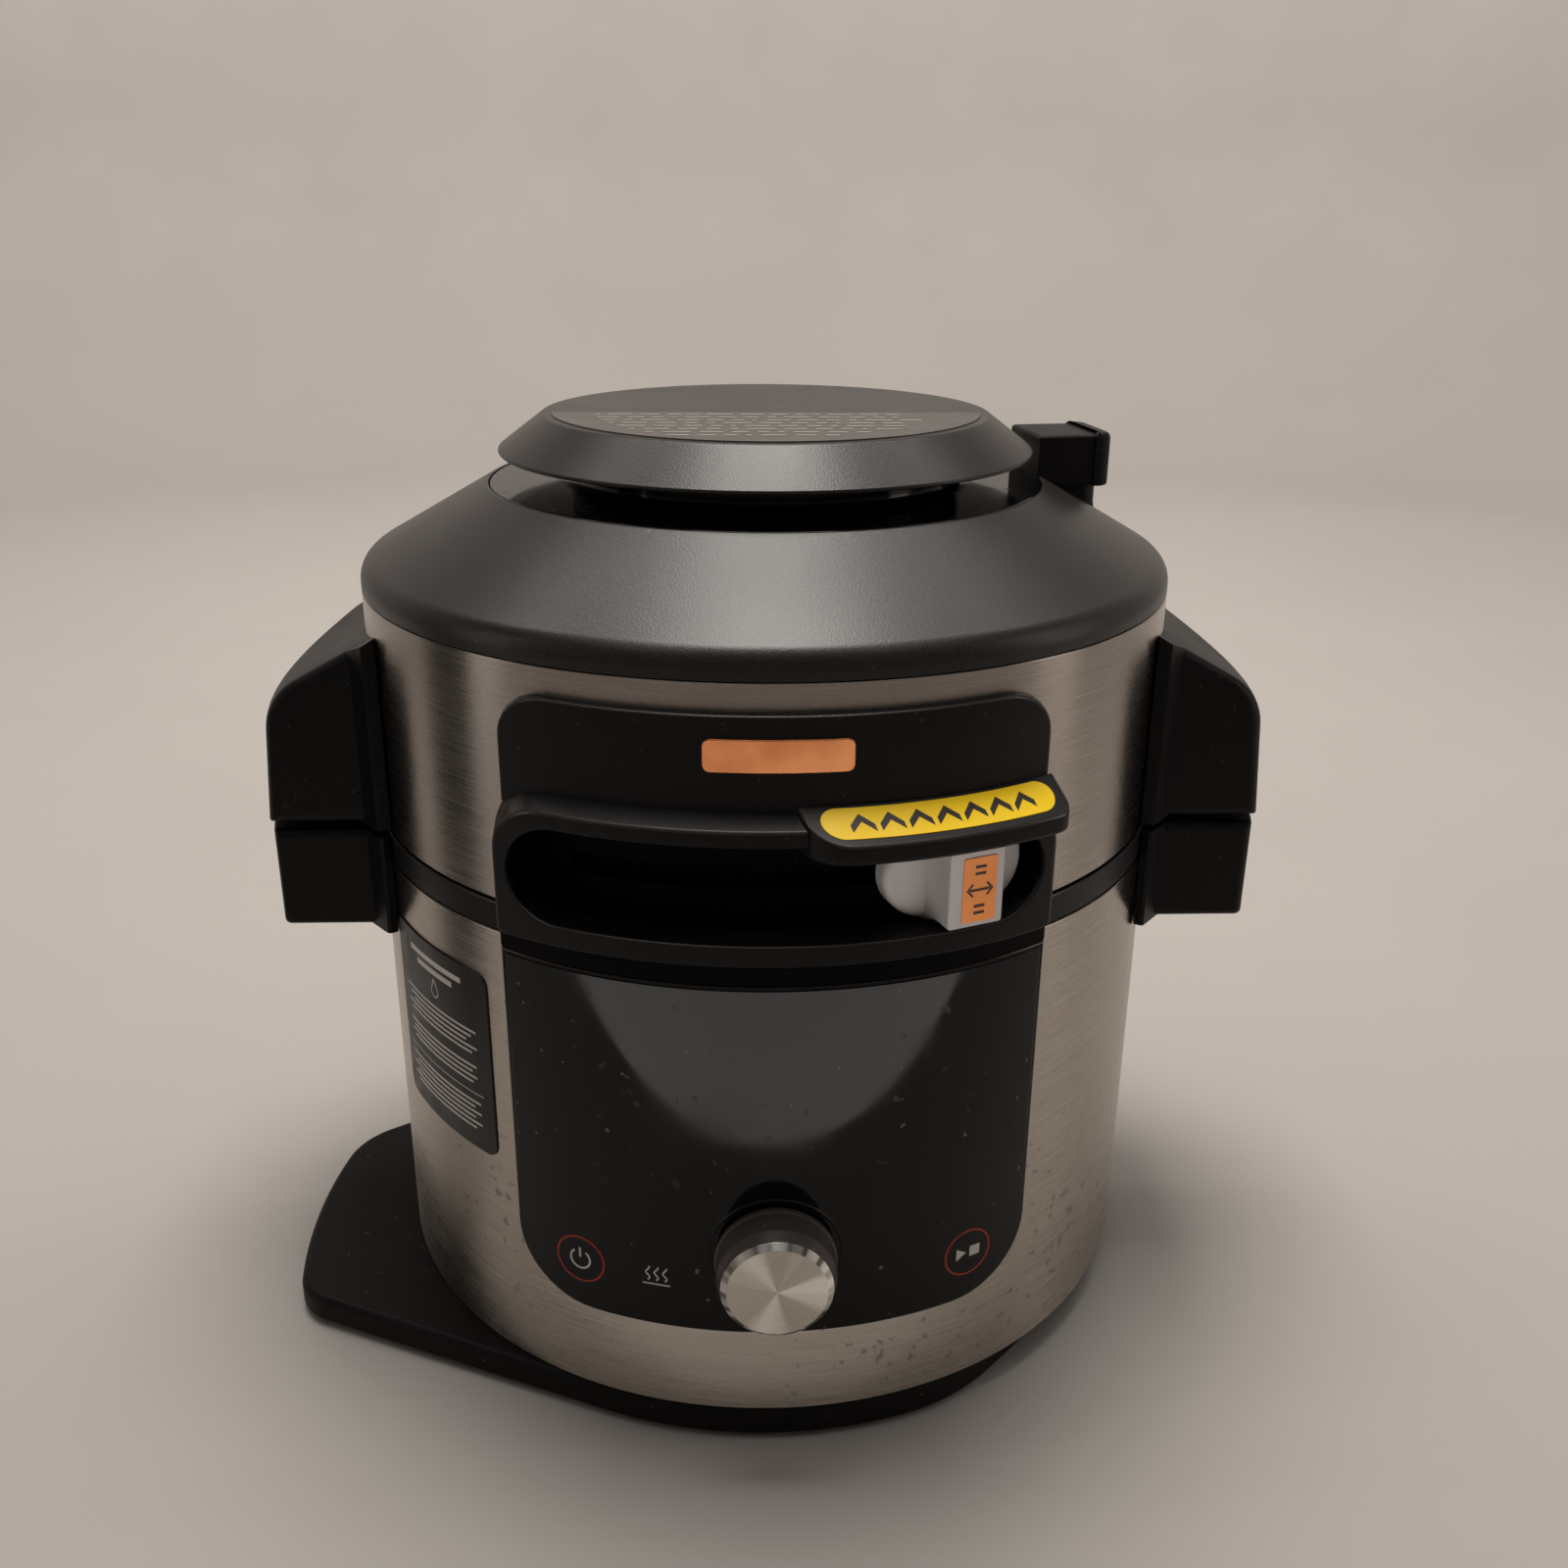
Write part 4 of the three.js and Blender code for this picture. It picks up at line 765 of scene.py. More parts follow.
def on_panel(azimuth):
    """Places (x, z, radius) round the drum, starting at the azimuth."""
    def place(u, v, w):
        return turned_to(azimuth + math.degrees(u / BODY_R), Vector((0, -w, v)))
    return place


def power_shapes(z):
    """Open circle with a bar at its top."""
    return [stroke(arc(0, z, 4, 125, 415, 24), 0.8), stroke([(0, z + 0.8), (0, z + 5)], 0.8)]


def start_shapes(z):
    """Triangle beside a square."""
    triangle = [Vector((-5, z - 2.6)), Vector((-0.8, z)), Vector((-5, z + 2.6))]
    return [triangle, box_outline(2.2, z - 2.2, z + 2.2, 0.2, 3)]


def warm_shapes(z):
    """Three wavy lines over a bar."""
    waves = []
    for column in (-3.2, 0, 3.2):
        wave = [(column + 0.7 * math.sin(k * 0.7), z - 3 + 0.5 * k) for k in range(13)]
        waves.append(stroke(wave, 0.6))
    return waves + [stroke([(-5.2, z - 4.6), (5.2, z - 4.6)], 0.6)]


def panel_marks():
    for name, (azimuth, z) in (("power_ring", POWER_MARK), ("start_ring", START_MARK)):
        finished(name, ring_mark(z, on_panel(azimuth)), RED, "control_panel")
    marks = (("power_mark", power_shapes, POWER_MARK), ("start_mark", start_shapes, START_MARK),
             ("warm_mark", warm_shapes, WARM_MARK))
    for name, shapes, (azimuth, z) in marks:
        finished(name, printed(shapes(z), on_panel(azimuth)), WHITE, "control_panel")


def dial_groove():
    """Thin raised ring on the panel round the dial."""
    inner, outer, crest = 23.3, 24.5, BODY_R + 1.95
    profile = [(inner, BODY_R), (outer, BODY_R), (outer, crest, 0.3), (inner, crest, 0.3)]
    ring = moved(turned(rounded(profile, 3), 96), facing_front())
    for vertex in ring.verts:
        vertex.co.y += BODY_R - math.sqrt(BODY_R ** 2 - vertex.co.x ** 2)
    finished("dial_groove", ring, RIM_BLACK, "control_panel")


# ---- Base: dial ----------------

def facing_front():
    """Turns a piece drawn about Z so that it faces -Y at the dial's height."""
    return Matrix.Translation((0, 0, DIAL_Z)) @ Matrix.Rotation(math.pi / 2, 4, "X")


def dial():
    """Dark barrel that narrows to the bright chamfered plate on its front."""
    back = BODY_R + 2.4
    step = back + 2.6
    low, high = span("dial_cap")
    radius, face = high.x, -low.y
    chamfer = 2.1
    seat = face - chamfer
    knob = rounded([(0, back), (DIAL_R, back, 0.9), (DIAL_R, step, 0.3),
                    (DIAL_R - 0.5, step + 0.4, 0.2), (DIAL_R - 0.6, DIAL_FRONT, 1),
                    (radius + 0.1, seat), (0, seat)])
    remade("dial_knob", moved(turned(knob, 128), facing_front()), DIAL_BLACK)
    cap = rounded([(0, seat), (radius, seat), (radius, seat + 0.3, 0.15),
                   (radius - chamfer, face, 0.2), (0, face)], 3)
    remade("dial_cap", moved(turned(cap, 128), facing_front()), CAP_METAL, 25)


# ---- Side handles ----------------

HANDLE_HALF = 61.3
BASE_HANDLE_SET = 1.2     # how much smaller the base's half is than the lid's
HANDLE_ROUND = 4          # rounding of a handle's front and back edges
HANDLE_BOW = 7.4          # how far the outer face bows out at the middle
HANDLE_BOW_HALF = 55.3
HANDLE_FOLD_X = 155       # where the front and back faces fold out into a short wing
HANDLE_WING = (148.2, 8)  # x of the wing's tip, and its reach beyond the face
SHOULDER = (187, 262.6)   # point on the lid handle's sloping top
SLOPE = 20.6 / 37         # fall of that top for each millimetre outwards
LEAN = 0.0728             # inward lean of its outer face for each millimetre of height
CREST_ROUND = 24          # rounding between that face and the top
POCKET = (165, 189, 48)   # the hollow under the base's half: inner x, outer x, half length


def handle_stations(half, radius):
    """(y, inset) pairs from the front face to the back face, with rounded ends."""
    front = [(back - half, by) for back, by in quarter(radius, 6)]
    middle = [((half - radius) * (k / 14 - 1), 0) for k in range(1, 28)]
    return front + middle + [(-y, by) for y, by in reversed(front)]


def bowed(reach, y):
    """The reach of the outer face at y."""
    return reach - HANDLE_BOW * (y / HANDLE_BOW_HALF) ** 2


def lid_handle_section(y, by, bottom):
    """Section of the lid's half: leaning side, round shoulder and sloping top."""
    inner = math.sqrt((LID_R + GAP) ** 2 - y * y)
    reach = bowed(HALF_WIDTH, y) - by
    level = SHOULDER[1] + SLOPE * SHOULDER[0] - by * math.hypot(1, SLOPE)
    crest = (level - SLOPE * (reach + LEAN * bottom)) / (1 - SLOPE * LEAN)
    crest_x = reach - LEAN * (crest - bottom)
    return rounded([(inner, bottom + by), (reach, bottom + by, 1), (crest_x, crest, CREST_ROUND),
                    (inner, level - SLOPE * inner)], 8)


def base_handle_section(y, by, bottom, top):
    """Section of the base's half: upright side with rounded lower corner."""
    inner = math.sqrt((BODY_R + GAP) ** 2 - y * y)
    reach = bowed(HALF_WIDTH - BASE_HANDLE_SET, y) - by
    return rounded([(inner, bottom + by), (reach, bottom + by, 2.2), (reach, top - by, 1),
                    (inner, top - by)], 8)


def handle_wings(half, wall, bottom, top):
    """Short wings at a handle's front and back; top gives their height from x."""
    tip_x, reach = HANDLE_WING
    tip = half + reach
    rings = []
    for k in range(7):
        y = tip - 0.5 - (reach + 1.5) * k / 6
        outer = tip_x + (HANDLE_FOLD_X - tip_x) * (tip - y) / reach
        inner = max(math.sqrt(wall ** 2 - y * y), tip_x * y / tip)
        corners = ((inner, bottom), (outer, bottom), (outer, top(outer)), (inner, top(inner)))
        rings.append([Vector((x, -y, z)) for x, z in corners])
    return merged(loft(rings), moved(loft(rings), Matrix.Diagonal((1, -1, 1, 1))))


def handle_body(half, radius, section, *levels):
    """Loft of a handle's sections from its front face to its back face."""
    return loft([[Vector((p.x, y, p.y)) for p in section(y, by, *levels)]
                 for y, by in handle_stations(half, radius)])


def lid_handle(node):
    bottom = span(node)[0].z

    def top(x):
        return SHOULDER[1] + SLOPE * (SHOULDER[0] - x)
    body = handle_body(HANDLE_HALF, HANDLE_ROUND, lid_handle_section, bottom)
    return merged(body, handle_wings(HANDLE_HALF, LID_R + GAP, bottom, top))


def base_handle(node):
    low, high = span(node)
    half = HANDLE_HALF - BASE_HANDLE_SET
    body = handle_body(half, 3, base_handle_section, low.z, high.z)
    inner, outer, reach = POCKET
    hollow = rounded([(inner, -reach, 5), (outer, -reach, 5), (outer, reach, 5), (inner, reach, 5)])
    pocket = slab(hollow, rounded_edge(low.z - 10, high.z - 3, 0, 2))
    wings = handle_wings(half, BODY_R + GAP, low.z, lambda x: high.z)
    return merged(carved(body, pocket), wings)


def side_handles():
    for side, name in ((1, "right"), (-1, "left")):
        flip = Matrix.Diagonal((side, 1, 1, 1))
        for start, solid in (("handle_lid_", lid_handle), ("handle_base_", base_handle)):
            node = start + name
            remade(node, moved(solid(node), flip), BLACK, 35)


# ---- Lid shells ----------------

SLOT_LOW, SLOT_HIGH = 213.3, 247.2
SLOT_HALF = 89
TRACK_WALL = 1.2
TRACK_HALF = SLOT_HALF + TRACK_WALL


def pill(half, bottom, top, steps=12):
    """Bar with round ends."""
    return box_outline(half, bottom, top, (top - bottom) / 2 - 0.02, 0, steps)


def lid_shells():
    wall = steel_wall(LID_R, LID_BOTTOM, BAND_TOP)
    window = slab(pill(TRACK_HALF + GAP, SLOT_LOW - 1.4, SLOT_HIGH + 1.5), [(0, 100), (0, 180)])
    for vertex in window.verts:
        vertex.co = Vector((vertex.co.x, -vertex.co.z, vertex.co.y))
    remade("lid_wrap", carved(turned(wall, SMOOTHEST), window), LID_STEEL)
    low = span("lid_cover")[0].z
    lip = CONE_TOP_R - 1.2
    cone = [(153, low), (LID_R, low, 0.5), (LID_R, CONE_KNEE, 9), (CONE_TOP_R, CONE_TOP, 0.8),
            (lip, CONE_TOP), (lip, 330.4), (150.4, CONE_KNEE + 0.4)]
    turned_on_axis("lid_cover", cone, CHARCOAL, SMOOTHEST, 8)


def top_cap():
    low, high = span("vent_ring")
    inner, step = 66, 76
    ring = [(inner, low.z), (high.x, low.z), (high.x, CONE_TOP, 0.8), (step, CONE_TOP, 4),
            (step, high.z), (inner, high.z)]
    turned_on_axis("vent_ring", ring, GLOSS)
    low, high = span("top_cap")
    hollow = 64
    cap = [(0, low.z + 4), (hollow, low.z + 4), (hollow, low.z, 0.6), (96, low.z, 2),
           (CAP_RIM_R, low.z + 1.2, 0.7), (CAP_RIM_R, low.z + 2.4, 0.8), (86.4, high.z, 2.4),
           (0, high.z)]
    turned_on_axis("top_cap", cap, CHARCOAL)


LABEL_R = 83
LABEL_BACK = -10          # y of the label's straight rear edge
LABEL_ROWS = 8
LABEL_PITCH = 7.5         # distance between its rows of print


def cap_label():
    """Film with rows of short dashes in place of the print."""
    high = span("cap_label")[1]
    start = math.degrees(math.asin(-LABEL_BACK / LABEL_R))
    outline = arc(0, 0, LABEL_R, 180 + start, 360 - start, 64)
    base = span("top_cap")[1].z - 0.1
    film = slab(outline, rounded_edge(base, high.z - 0.12, 0, 0.15, 2))
    remade("cap_label", film, CAP_FILM)
    outlines = []
    for row in range(LABEL_ROWS):
        y = LABEL_BACK - 7 - LABEL_PITCH * row
        reach = 0.8 * math.sqrt(LABEL_R ** 2 - y * y)
        x = -reach
        while x < reach - 12:
            length = 2 + (row * 5 + len(outlines) * 7) % 9
            outlines.append(stroke([(x, y), (x + length, y)], 2))
            x += length + 3.2
    ink = merged(*[slab(o, [(0, high.z - 0.16), (0, high.z)]) for o in outlines])
    finished("cap_print", ink, CAP_PRINT, "cap_label")


# ---- Lid: front panel, slot and badge ----------------

TAB_HALF = 45.7
TAB_INNER = PANEL_R + GAP
TAB_OUTER = 177.6
TAB_UNDER = 243.6
TAB_BACK_TOP = 258.5
TAB_SLOPE = 0.534         # fall of the tab's top for each millimetre outwards
TAB_CORNERS = (12, 6)     # plan rounding of the tab's left and right front corners


def tab_reach(u, half, outer):
    """Outer radius of the tab at the distance u from its middle."""
    corner = TAB_CORNERS[0] if u < 0 else TAB_CORNERS[1]
    into = max(0, corner - (half - abs(u)))
    return outer - (corner - math.sqrt(corner ** 2 - into ** 2))


def tab_section(u, by, grow):
    """Section (radius, z) of the tab at the distance u from its middle."""
    outer = tab_reach(u, TAB_HALF + grow, TAB_OUTER + grow) - by
    bottom = TAB_UNDER - grow + by
    crest = TAB_BACK_TOP + grow - by

    def top(r):
        return crest - TAB_SLOPE * (r - TAB_INNER)
    inner = TAB_INNER - grow
    radius = min(2, 0.4 * (outer - inner))
    return rounded([(inner, bottom), (outer, bottom, radius), (outer, top(outer), radius),
                    (inner, top(inner))])


def tab_solid(grow=0.0):
    """The lift tab, grown by a margin on every side."""
    radius = 1.4
    half = TAB_HALF + grow
    ends = [(half - back, by) for back, by in quarter(radius, 4)]
    corners = [(half - radius - k, 0) for k in (0.6, 1.3, 2.2, 3.4, 5, 7, 9.5, 12.5)]
    inner = half - 15
    middle = [(-inner + 2 * inner * k / 16, 0) for k in range(17)]
    stations = [(-u, by) for u, by in ends + corners] + middle + (ends + corners)[::-1]
    rings = [[Vector((u, p.y, p.x)) for p in tab_section(u, by, grow)] for u, by in stations]
    mesh = loft(rings)
    place = fronted(TAB_AZ)
    for vertex in mesh.verts:
        vertex.co = place(*vertex.co)
    return mesh


FRAME_STEPS = 10
FRAME_HALF = 93.9
FRAME_BOTTOM = 205.4
FRAME_TOP = 256.9
FRAME_FALL = 0.45         # fall of the frame's top for each millimetre outwards
TRACK_BACK = 149.5
TRACK_FLOOR = 151.5


def frame_outline(radius, by=0.0):
    """Outline of the slot's frame at a distance from the axis; its top slopes back to the panel."""
    top = FRAME_TOP - max(0, radius - PANEL_R + 1) * FRAME_FALL - by
    return four_sided(FRAME_HALF - by, FRAME_BOTTOM + by, top, 2.5 - by, 17.5 - by, FRAME_STEPS)


def slot_frame():
    """Raised frame round the slider's slot, with a seat for the lift tab."""
    def back(z):
        clear_of_rim = RIM_TOP + 0.4
        return BODY_R + 1.4 if z < clear_of_rim else LID_R - 0.5
    edge = 1.2
    shoulder = FRAME_R - edge
    rolled = [(by, FRAME_R - drop) for by, drop in quarter(edge, 4)]
    layers = [(frame_outline(PANEL_R), PANEL_R), (frame_outline(shoulder), shoulder)]
    layers += [(frame_outline(r, by), r) for by, r in rolled[1:]]
    layers += [(pill(SLOT_HALF + by, SLOT_LOW - by, SLOT_HIGH + by, FRAME_STEPS), r)
               for by, r in rolled[::-1]]
    layers.append((pill(SLOT_HALF, SLOT_LOW, SLOT_HIGH, FRAME_STEPS), LID_R - 0.5))
    rings = [[Vector((p.x, p.y, back(p.y))) for p in frame_outline(PANEL_R)]]
    rings += [lifted(outline, r) for outline, r in layers]
    return carved(bent(loft(rings, closed=True), fronted()), tab_solid(GAP))


def lid_panel():
    high = span("lid_panel")[1]
    sheet = four_sided(91, 250, high.z, 0, 16, 12)
    plate = bent(slab(sheet, rounded_edge(LID_R + 0.1, PANEL_R, 0, 1.1)), fronted())
    remade("lid_panel", merged(plate, slot_frame()), EDGED_BLACK, 35)


def slot_track():
    """Trough behind the slot, with the slit that the slider's arm runs in."""
    outer = pill(TRACK_HALF, SLOT_LOW - 1.1, SLOT_HIGH + 1.2)
    inner = pill(SLOT_HALF, SLOT_LOW, SLOT_HIGH)
    slit = box_outline(69, 225, 233, 2, 0, 12)
    layers = ((outer, LID_R), (outer, TRACK_BACK), (slit, TRACK_BACK), (slit, TRACK_FLOOR),
              (inner, TRACK_FLOOR), (inner, LID_R))
    rings = [lifted(outline, r) for outline, r in layers]
    # The trough is painted near-black as the shade inside the slot.
    remade("slot_track", bent(loft(rings, closed=True), fronted()), PAINTED_SHADE_BLACK)


def lift_tab():
    remade("lift_tab", tab_solid(), EDGED_BLACK, 35)
    tilt = math.atan(TAB_SLOPE)
    middle_r = (TAB_INNER + TAB_OUTER) / 2 - 0.9
    middle_z = TAB_BACK_TOP - TAB_SLOPE * (middle_r - TAB_INNER)
    turn = fronted(TAB_AZ)

    def on_slope(u, v, w):
        r = middle_r - v * math.cos(tilt) + w * math.sin(tilt)
        return turn(u, middle_z + v * math.sin(tilt) + w * math.cos(tilt), r)
    film = slab(pill(41, -6.4, 6.4), rounded_edge(-0.2, 0.3, 0, 0.12, 2))
    remade("lift_label", bent(film, on_slope), YELLOW)
    pitch = 9.5
    corners = ((0, 3.6), (-3.9, -0.8), (-3.9, -3.8), (0, 0.4), (3.9, -3.8), (3.9, -0.8))
    chevrons = [[Vector((k * pitch + x, y)) for x, y in corners] for k in range(-3, 4)]
    finished("lift_arrows", printed(chevrons, on_slope, 0.2, 0.36), INK, "lift_label")


def badge():
    high = span("badge_plate")[1]
    outline = box_outline(24, high.z - 11, high.z, 2.5)
    plate = slab(outline, rounded_edge(PANEL_R - 0.2, PANEL_R + 0.9, 0, 0.35))
    remade("badge_plate", bent(plate, fronted()), COPPER)


# ---- Lid: steam vent ----------------

VENT_FLOOR = 329.5        # underside of the vent's head


def steam_vent():
    """Hollow-mouthed head on a neck that runs back to the cap, on a rounded pedestal."""
    top = span("steam_vent_housing")[1].z
    neck = four_sided(17.2, -132, -106.5)
    body = slab(neck, rounded_edge(VENT_FLOOR + 0.7, top - 0.8, 0.8, 1.6))
    lip = four_sided(18, -137.6, -129.5, 6, 0.6, 8)
    head = slab(lip, rounded_edge(VENT_FLOOR, top, 0.8, 2.6))
    mouth = slab(four_sided(13, -142, -131), [(0, VENT_FLOOR - 5), (0, VENT_FLOOR + 11)])
    foot = four_sided(13, -135, -110, 8, 3, 8)
    pedestal = slab(foot, [(-1.5, 312), (0, 322), (0, VENT_FLOOR + 2)])
    housing = merged(body, carved(head, mouth), pedestal)
    turn = Matrix.Rotation(math.radians(VENT_AZ), 4, "Z")
    remade("steam_vent_housing", moved(housing, turn), BLACK, 35)


# ---- Slider ----------------

GRIP_FRONT = 172.6
ARROW_Z = 228.4
UNCUT = 40                # strip wider than the slider's grip, so that the grip stays whole


def slider():
    """Silver carriage behind the slot's lip, with a flared grip that carries the label."""
    place = flat_front(SLIDER_AZ)
    shape = pill(26.2, SLOT_LOW + 1, SLOT_HIGH - 1.2)
    carriage = slab(shape, rounded_edge(153.2, 160, 0.5, 2.2, 6))
    flare = [(-2.6, 157), (-1.6, 159.4), (-0.8, 161), (-0.3, 163), (0, 165.5)]
    layers = flare + rounded_edge(166, GRIP_FRONT, 0, 0.9)[1:]
    grip = bent(slab(box_outline(10.2, 215, 242.4, 1.3), layers), place, UNCUT)
    remade("slider_knob", merged(bent(carriage, fronted(SLIDER_AZ)), grip), SILVER, 35)
    layers = rounded_edge(GRIP_FRONT - 0.1, GRIP_FRONT + 0.35, 0, 0.1, 2)
    film = slab(box_outline(6.25, 216.9, 239.9, 0.8, 0.8), layers)
    remade("slider_label", bent(film, place, UNCUT), ORANGE)
    arrow = [stroke([(-3, ARROW_Z), (4.6, ARROW_Z)], 0.9)]
    for side in (-1, 1):
        tip = 0.8 + side * 4.6
        barb = tip - side * 2
        arrow.append(stroke([(barb, ARROW_Z + 2.2), (tip, ARROW_Z), (barb, ARROW_Z - 2.2)], 0.8))
    arrow += [stroke([(-1.2, z), (2.8, z)], 1) for z in (220.2, 222.6, 234.2, 236.6)]
    ink = printed(arrow, place, GRIP_FRONT + 0.25, GRIP_FRONT + 0.45)
    finished("slider_arrow", ink, INK, "slider_label")


# ---- Base: reminder label ----------------

LINE_PITCH = 2.3          # distance between the lines of small print


def print_rows():
    """Generic bars (half length, thickness, distance from the top) in place of the text."""
    rows = [(19, 2.2, 7), (13, 2.2, 11)]
    rows += [(26 - 3 * (k % 3), 0.9, 26 + LINE_PITCH * k) for k in range(5)]
    rows += [(25 - 2.5 * (k % 2), 0.9, 41 + LINE_PITCH * k) for k in range(4)]
    rows += [(28, 0.35, 52.6)]
    return rows + [(26 - 3.5 * (k % 2), 0.9, 56.5 + LINE_PITCH * k) for k in range(6)]


def reminder():
    """Label on the drum with bars of print and a drop."""
    low, high = span("reminder_label")
    place = fronted(REMINDER_AZ)
    layers = rounded_edge(BODY_R + 0.1, BODY_R + 0.7, 0, 0.2, 2)
    film = slab(box_outline(33.3, low.z, high.z, 5), layers)
    remade("reminder_label", bent(film, place), LABEL)
    outlines = [stroke([(-reach, high.z - down), (reach, high.z - down)], width)
                for reach, width, down in print_rows()]
    drop_z = high.z - 18.4
    tip = (0, drop_z + 4.6)
    belly = [tuple(p) for p in arc(0, drop_z - 0.6, 2.4, 25, -205, 18)]
    outlines.append(stroke([tip] + belly + [tip], 0.5))
    ink = printed(outlines, place, BODY_R + 0.66, BODY_R + 0.76)
    finished("reminder_print", ink, WHITE, "reminder_label")


# ---- Cooking side ----------------

def pot_and_well():
    """Cooking pot, the heated well that it stands in, and the sensor in the well's floor."""
    low, high = span("cooking_pot")
    wall, corner = 1.6, 22
    outer, flange, under = 118.5, high.x, high.z - 2.9
    inner = outer - wall
    pot = [(0, low.z), (outer, low.z, corner), (outer, under), (flange, under, 0.5),
           (flange, high.z, 1), (inner, high.z, 1.6), (inner, low.z + wall, corner - wall),
           (0, low.z + wall)]
    turned_on_axis("cooking_pot", pot, COATING, steps=10)
    low, high = span("liner_well")
    sheet = 1.5
    outer, flange = 127 + sheet, 133
    well = [(112, 36), (127, 36, 2), (127, high.z, 1.5), (flange, high.z),
            (flange, high.z - sheet), (outer, high.z - sheet), (outer, low.z), (112, low.z)]
    turned_on_axis("liner_well", well, ALUMINIUM)
    low, high = span("sensor_button")
    stem, head, neck = 5, 11, low.z + 9
    button = [(0, low.z), (stem, low.z), (stem, neck), (head, neck, 0.4), (head, high.z, 1),
              (0, high.z)]
    turned_on_axis("sensor_button", button, ALUMINIUM, 64)


LINER_R = 121             # outer radius of the lid's liner
LINER_SHEET = 3
LINER_LEDGE = (131.2, 217, 219.5)  # radius, underside and top of the ledge over the gasket


def lid_underside():
    """Pressed liner of the lid and the gasket under its ledge."""
    low, high = span("lid_liner")
    inner, roof, bore = LINER_R - LINER_SHEET, high.z - LINER_SHEET, 5
    edge, under, over = LINER_LEDGE
    liner = [(bore, roof), (inner, roof, 12), (inner, low.z), (LINER_R, low.z),
             (LINER_R, under), (edge, under, 0.4), (edge, over, 0.4), (LINER_R, over),
             (LINER_R, high.z, 14), (bore, high.z)]
    turned_on_axis("lid_liner", liner, ALUMINIUM, steps=8)
    low, high = span("sealing_gasket")
    inner, outer = LINER_R + 0.4, 131
    gasket = [(inner, low.z, 0.5), (126, low.z + 2.6, 1.5), (outer, low.z, 0.5),
              (outer, high.z, 1), (inner, high.z, 1)]
    turned_on_axis("sealing_gasket", gasket, SILICONE)


def spiral_coil():
    """Sheathed element wound in a flat spiral, a smooth tube along the path."""
    low, high = span("heating_coil")
    radius, level = 3.4, (low.z + high.z) / 2
    inner, widening = 66, 34
    turns, steps = 2.3, 280
    rings = []
    for k in range(steps + 1):
        share = k / steps
        angle = share * turns * 2 * math.pi
        reach = inner + widening * share
        run = Matrix.Rotation(angle, 3, "Z")
        rings.append([run @ Vector((reach + radius * math.cos(t), 0, level + radius * math.sin(t)))
                      for t in [2 * math.pi * i / 16 for i in range(16)]])
    remade("heating_coil", loft(rings), COIL)


def valve_parts():
    """Cup-shaped cap that keeps food out of the vent, and the float valve with its broad foot."""
    low, high = span("anti_clog_cap")
    radius, wall = (high.x - low.x) / 2, 1.4
    cap = [(0, low.z), (radius, low.z, 1.2), (radius, high.z), (radius - wall, high.z),
           (radius - wall, low.z + wall), (0, low.z + wall)]
    turned_in_place("anti_clog_cap", cap, POLISHED)
    low, high = span("float_valve")
    radius, stem, foot = (high.x - low.x) / 2, 3.9, low.z + 3
    valve = [(0, low.z), (radius, low.z, 0.6), (radius, foot, 0.5), (stem, foot),
             (stem, high.z, 0.6), (0, high.z)]
    turned_in_place("float_valve", valve, POLISHED)


# ---- CAD nodes that keep their shape ----------------

SOFTENED = {
    "inner_housing": HIDDEN_BLACK, "control_board": BOARD, "dial_encoder": PLATE_STEEL,
    "power_board": BOARD, "heater_plate": HEATER, "sensor_spring": POLISHED,
    "hinge_bracket": BLACK, "hinge_arm": BLACK, "hinge_pin": POLISHED, "cord_gland": RUBBER,
    "collector_bracket": BLACK, "condensation_cup": GLOSS, "lid_body": HIDDEN_BLACK,
    "steam_duct": ALUMINIUM, "motor_plate": PLATE_STEEL, "fan_motor": PLATE_STEEL,
    "fan_impeller": ALUMINIUM, "cooling_fan": HIDDEN_BLACK, "coil_guard": POLISHED,
    # The metal locking ring, seen through the slit, is painted near-black as shade.
    "locking_ring": PAINTED_SHADE_BLACK,
}
BEVELLED = {"hinge_bracket": 1.2, "hinge_arm": 1.2, "cord_gland": 0.8, "collector_bracket": 0.8,
            "condensation_cup": 0.6, "coil_guard": 0.4, "fan_impeller": 0.3}


def kept_nodes():
    """Gives the remaining CAD nodes their looks, and soft edges where they are in view."""
    for node, look in SOFTENED.items():
        piece = frame["nodes"][node]
        piece.data.materials.clear()
        piece.data.materials.append(look)
        if node in BEVELLED:
            flatten = piece.modifiers.new("flatten", "DECIMATE")
            flatten.decimate_type = "DISSOLVE"
            flatten.angle_limit = math.radians(1)
            bevel = piece.modifiers.new("edges", "BEVEL")
            bevel.width = BEVELLED[node] * MM
            bevel.segments = 3
            bevel.angle_limit = math.radians(32)
        shade(piece, 32)


# ---- Stage ----------------

def stage():
    """Round floor that curves up into a wall."""
    cove = rounded([(0, 0), (2600, 0, 700), (3000, 2400)], 12)
    mesh = bmesh.new()
    for low, high in spun(mesh, cove, 96):
        for i in range(len(cove) - 1):
            mesh.faces.new((low[i], high[i], high[i + 1], low[i + 1]))
    floor = placed("studio_floor", mesh_data("studio_floor", in_metres(mesh)))
    floor.data.shade_smooth()
    floor.data.materials.append(floor_look("studio_floor"))


def area_light(name, place, target, size, power, only=()):
    """Warm rectangular lamp; with only, it lights nothing but the pieces of those names."""
    data = bpy.data.lights.new(name, "AREA")
    data.shape = "RECTANGLE"
    data.size, data.size_y = size
    data.energy = power
    data.color = (1.0, 0.95, 0.89)
    light = placed(name, data)
    light.location = place
    light.rotation_euler = (Vector(target) - Vector(place)).to_track_quat("-Z", "Y").to_euler()
    light.visible_camera = False
    if only:
        lit = bpy.data.collections.new(name + "_lit")
        for piece in only:
            lit.objects.link(bpy.data.objects[piece])
        light.light_linking.receiver_collection = lit


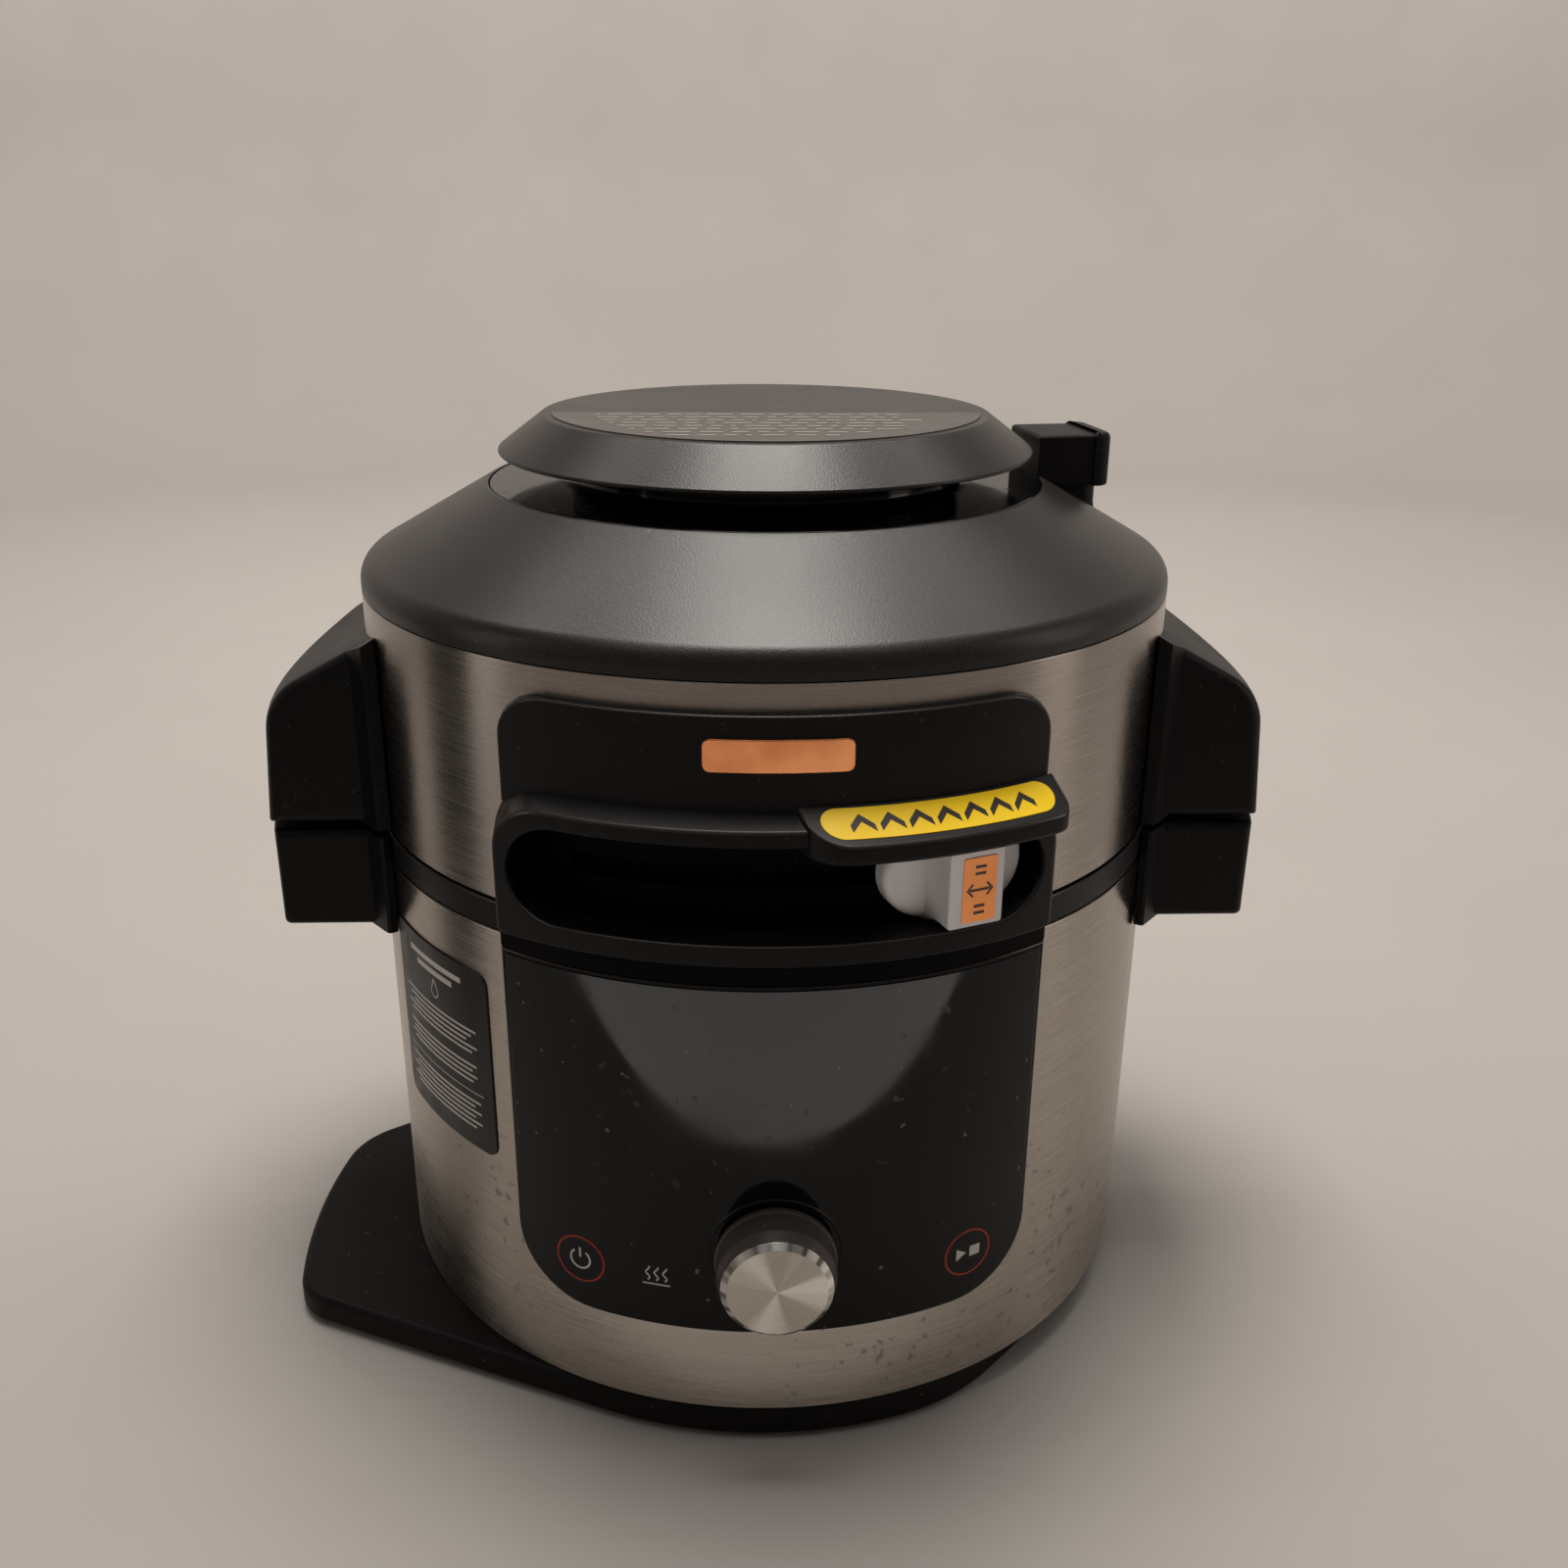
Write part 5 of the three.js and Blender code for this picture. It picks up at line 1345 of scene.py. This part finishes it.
def dark_card(name, place, width, height):
    """Unseen black card on the floor, facing the cooker, that shows only in its reflections."""
    mesh = bmesh.new()
    half = width / 2
    corners = ((-half, 0, 0), (half, 0, 0), (half, 0, height), (-half, 0, height))
    mesh.faces.new([mesh.verts.new(corner) for corner in corners])
    card = placed(name, mesh_data(name, mesh))
    card.data.materials.append(HIDDEN_BLACK)
    card.location = place
    card.rotation_euler = (0, 0, math.atan2(place[0], -place[1]))
    card.visible_camera = False
    card.visible_diffuse = False
    card.visible_shadow = False


LIT_IN_FRONT = ("control_glass", "slider_knob_fine", "slider_label_fine", "slider_arrow",
                "badge_plate_fine")


def lights():
    """Soft lamps overhead, weak ones at the sides, and low ones that stand for the bright floor."""
    area_light("ceiling_lamp", (0, 0.15, 1.9), (0, 0.15, 0), (0.75, 0.75), 23)
    area_light("overhead", (0, -0.1, 2.1), (0, 0, 0), (2.4, 2.0), 8)
    area_light("wall_wash", (0, 0.9, 2.2), (0, 2.4, 0.7), (3.0, 0.4), 50)
    area_light("left_window", (-1.6, -0.3, 0.6), (0, 0, 0.2), (0.4, 1.2), 1.5)
    area_light("right_window", (1.6, -0.3, 0.7), (0, 0, 0.2), (0.4, 1.2), 2.5)
    area_light("front_floor", (0.03, -0.67, 0.004), (0.03, -0.67, 1), (1.06, 0.65), 4.6,
               LIT_IN_FRONT)
    area_light("front_bounce", (0, -0.4, 0.004), (0, -0.4, 1), (0.9, 0.44), 0.3, ["base_wrap_fine"])
    dark_card("left_card", (-0.352, -0.078, 0), 0.11, 0.9)
    world = bpy.data.worlds.new("studio")
    world.use_nodes = True
    background = world.node_tree.nodes["Background"]
    background.inputs["Color"].default_value = (0.9, 0.87, 0.84, 1)
    background.inputs["Strength"].default_value = 0.12
    bpy.context.scene.world = world
    bpy.context.scene.view_settings.view_transform = "Standard"


CAMERA_PLACE = Vector((-15.75, -601.4, 438.0)) * MM
CAMERA_HEADING = 2.27     # degrees from +Y towards +X
CAMERA_PITCH = -21.33
CAMERA_ROLL = 0.43
CAMERA_LENS = 34.73


def camera():
    """Camera at the photo's angle."""
    turn = Matrix.Rotation(math.radians(-CAMERA_HEADING), 4, "Z")
    turn @= Matrix.Rotation(math.radians(90 + CAMERA_PITCH), 4, "X")
    turn @= Matrix.Rotation(math.radians(CAMERA_ROLL), 4, "Z")
    data = bpy.data.cameras.new("photo_camera")
    data.lens = CAMERA_LENS
    data.sensor_width = 36
    data.clip_start = 0.01
    thing = placed("photo_camera", data)
    thing.matrix_world = Matrix.Translation(CAMERA_PLACE) @ turn
    bpy.context.scene.camera = thing


# ---- Assembly ----------------

camera()
stage()
for build in (base_plate, feet_and_screws, drum, base_rim, control_panel, panel_marks, dial_groove,
              dial, side_handles, lid_shells, top_cap, cap_label, lid_panel, slot_track, lift_tab,
              badge, steam_vent, slider, reminder, pot_and_well, lid_underside, spiral_coil,
              valve_parts, kept_nodes):
    build()
lights()
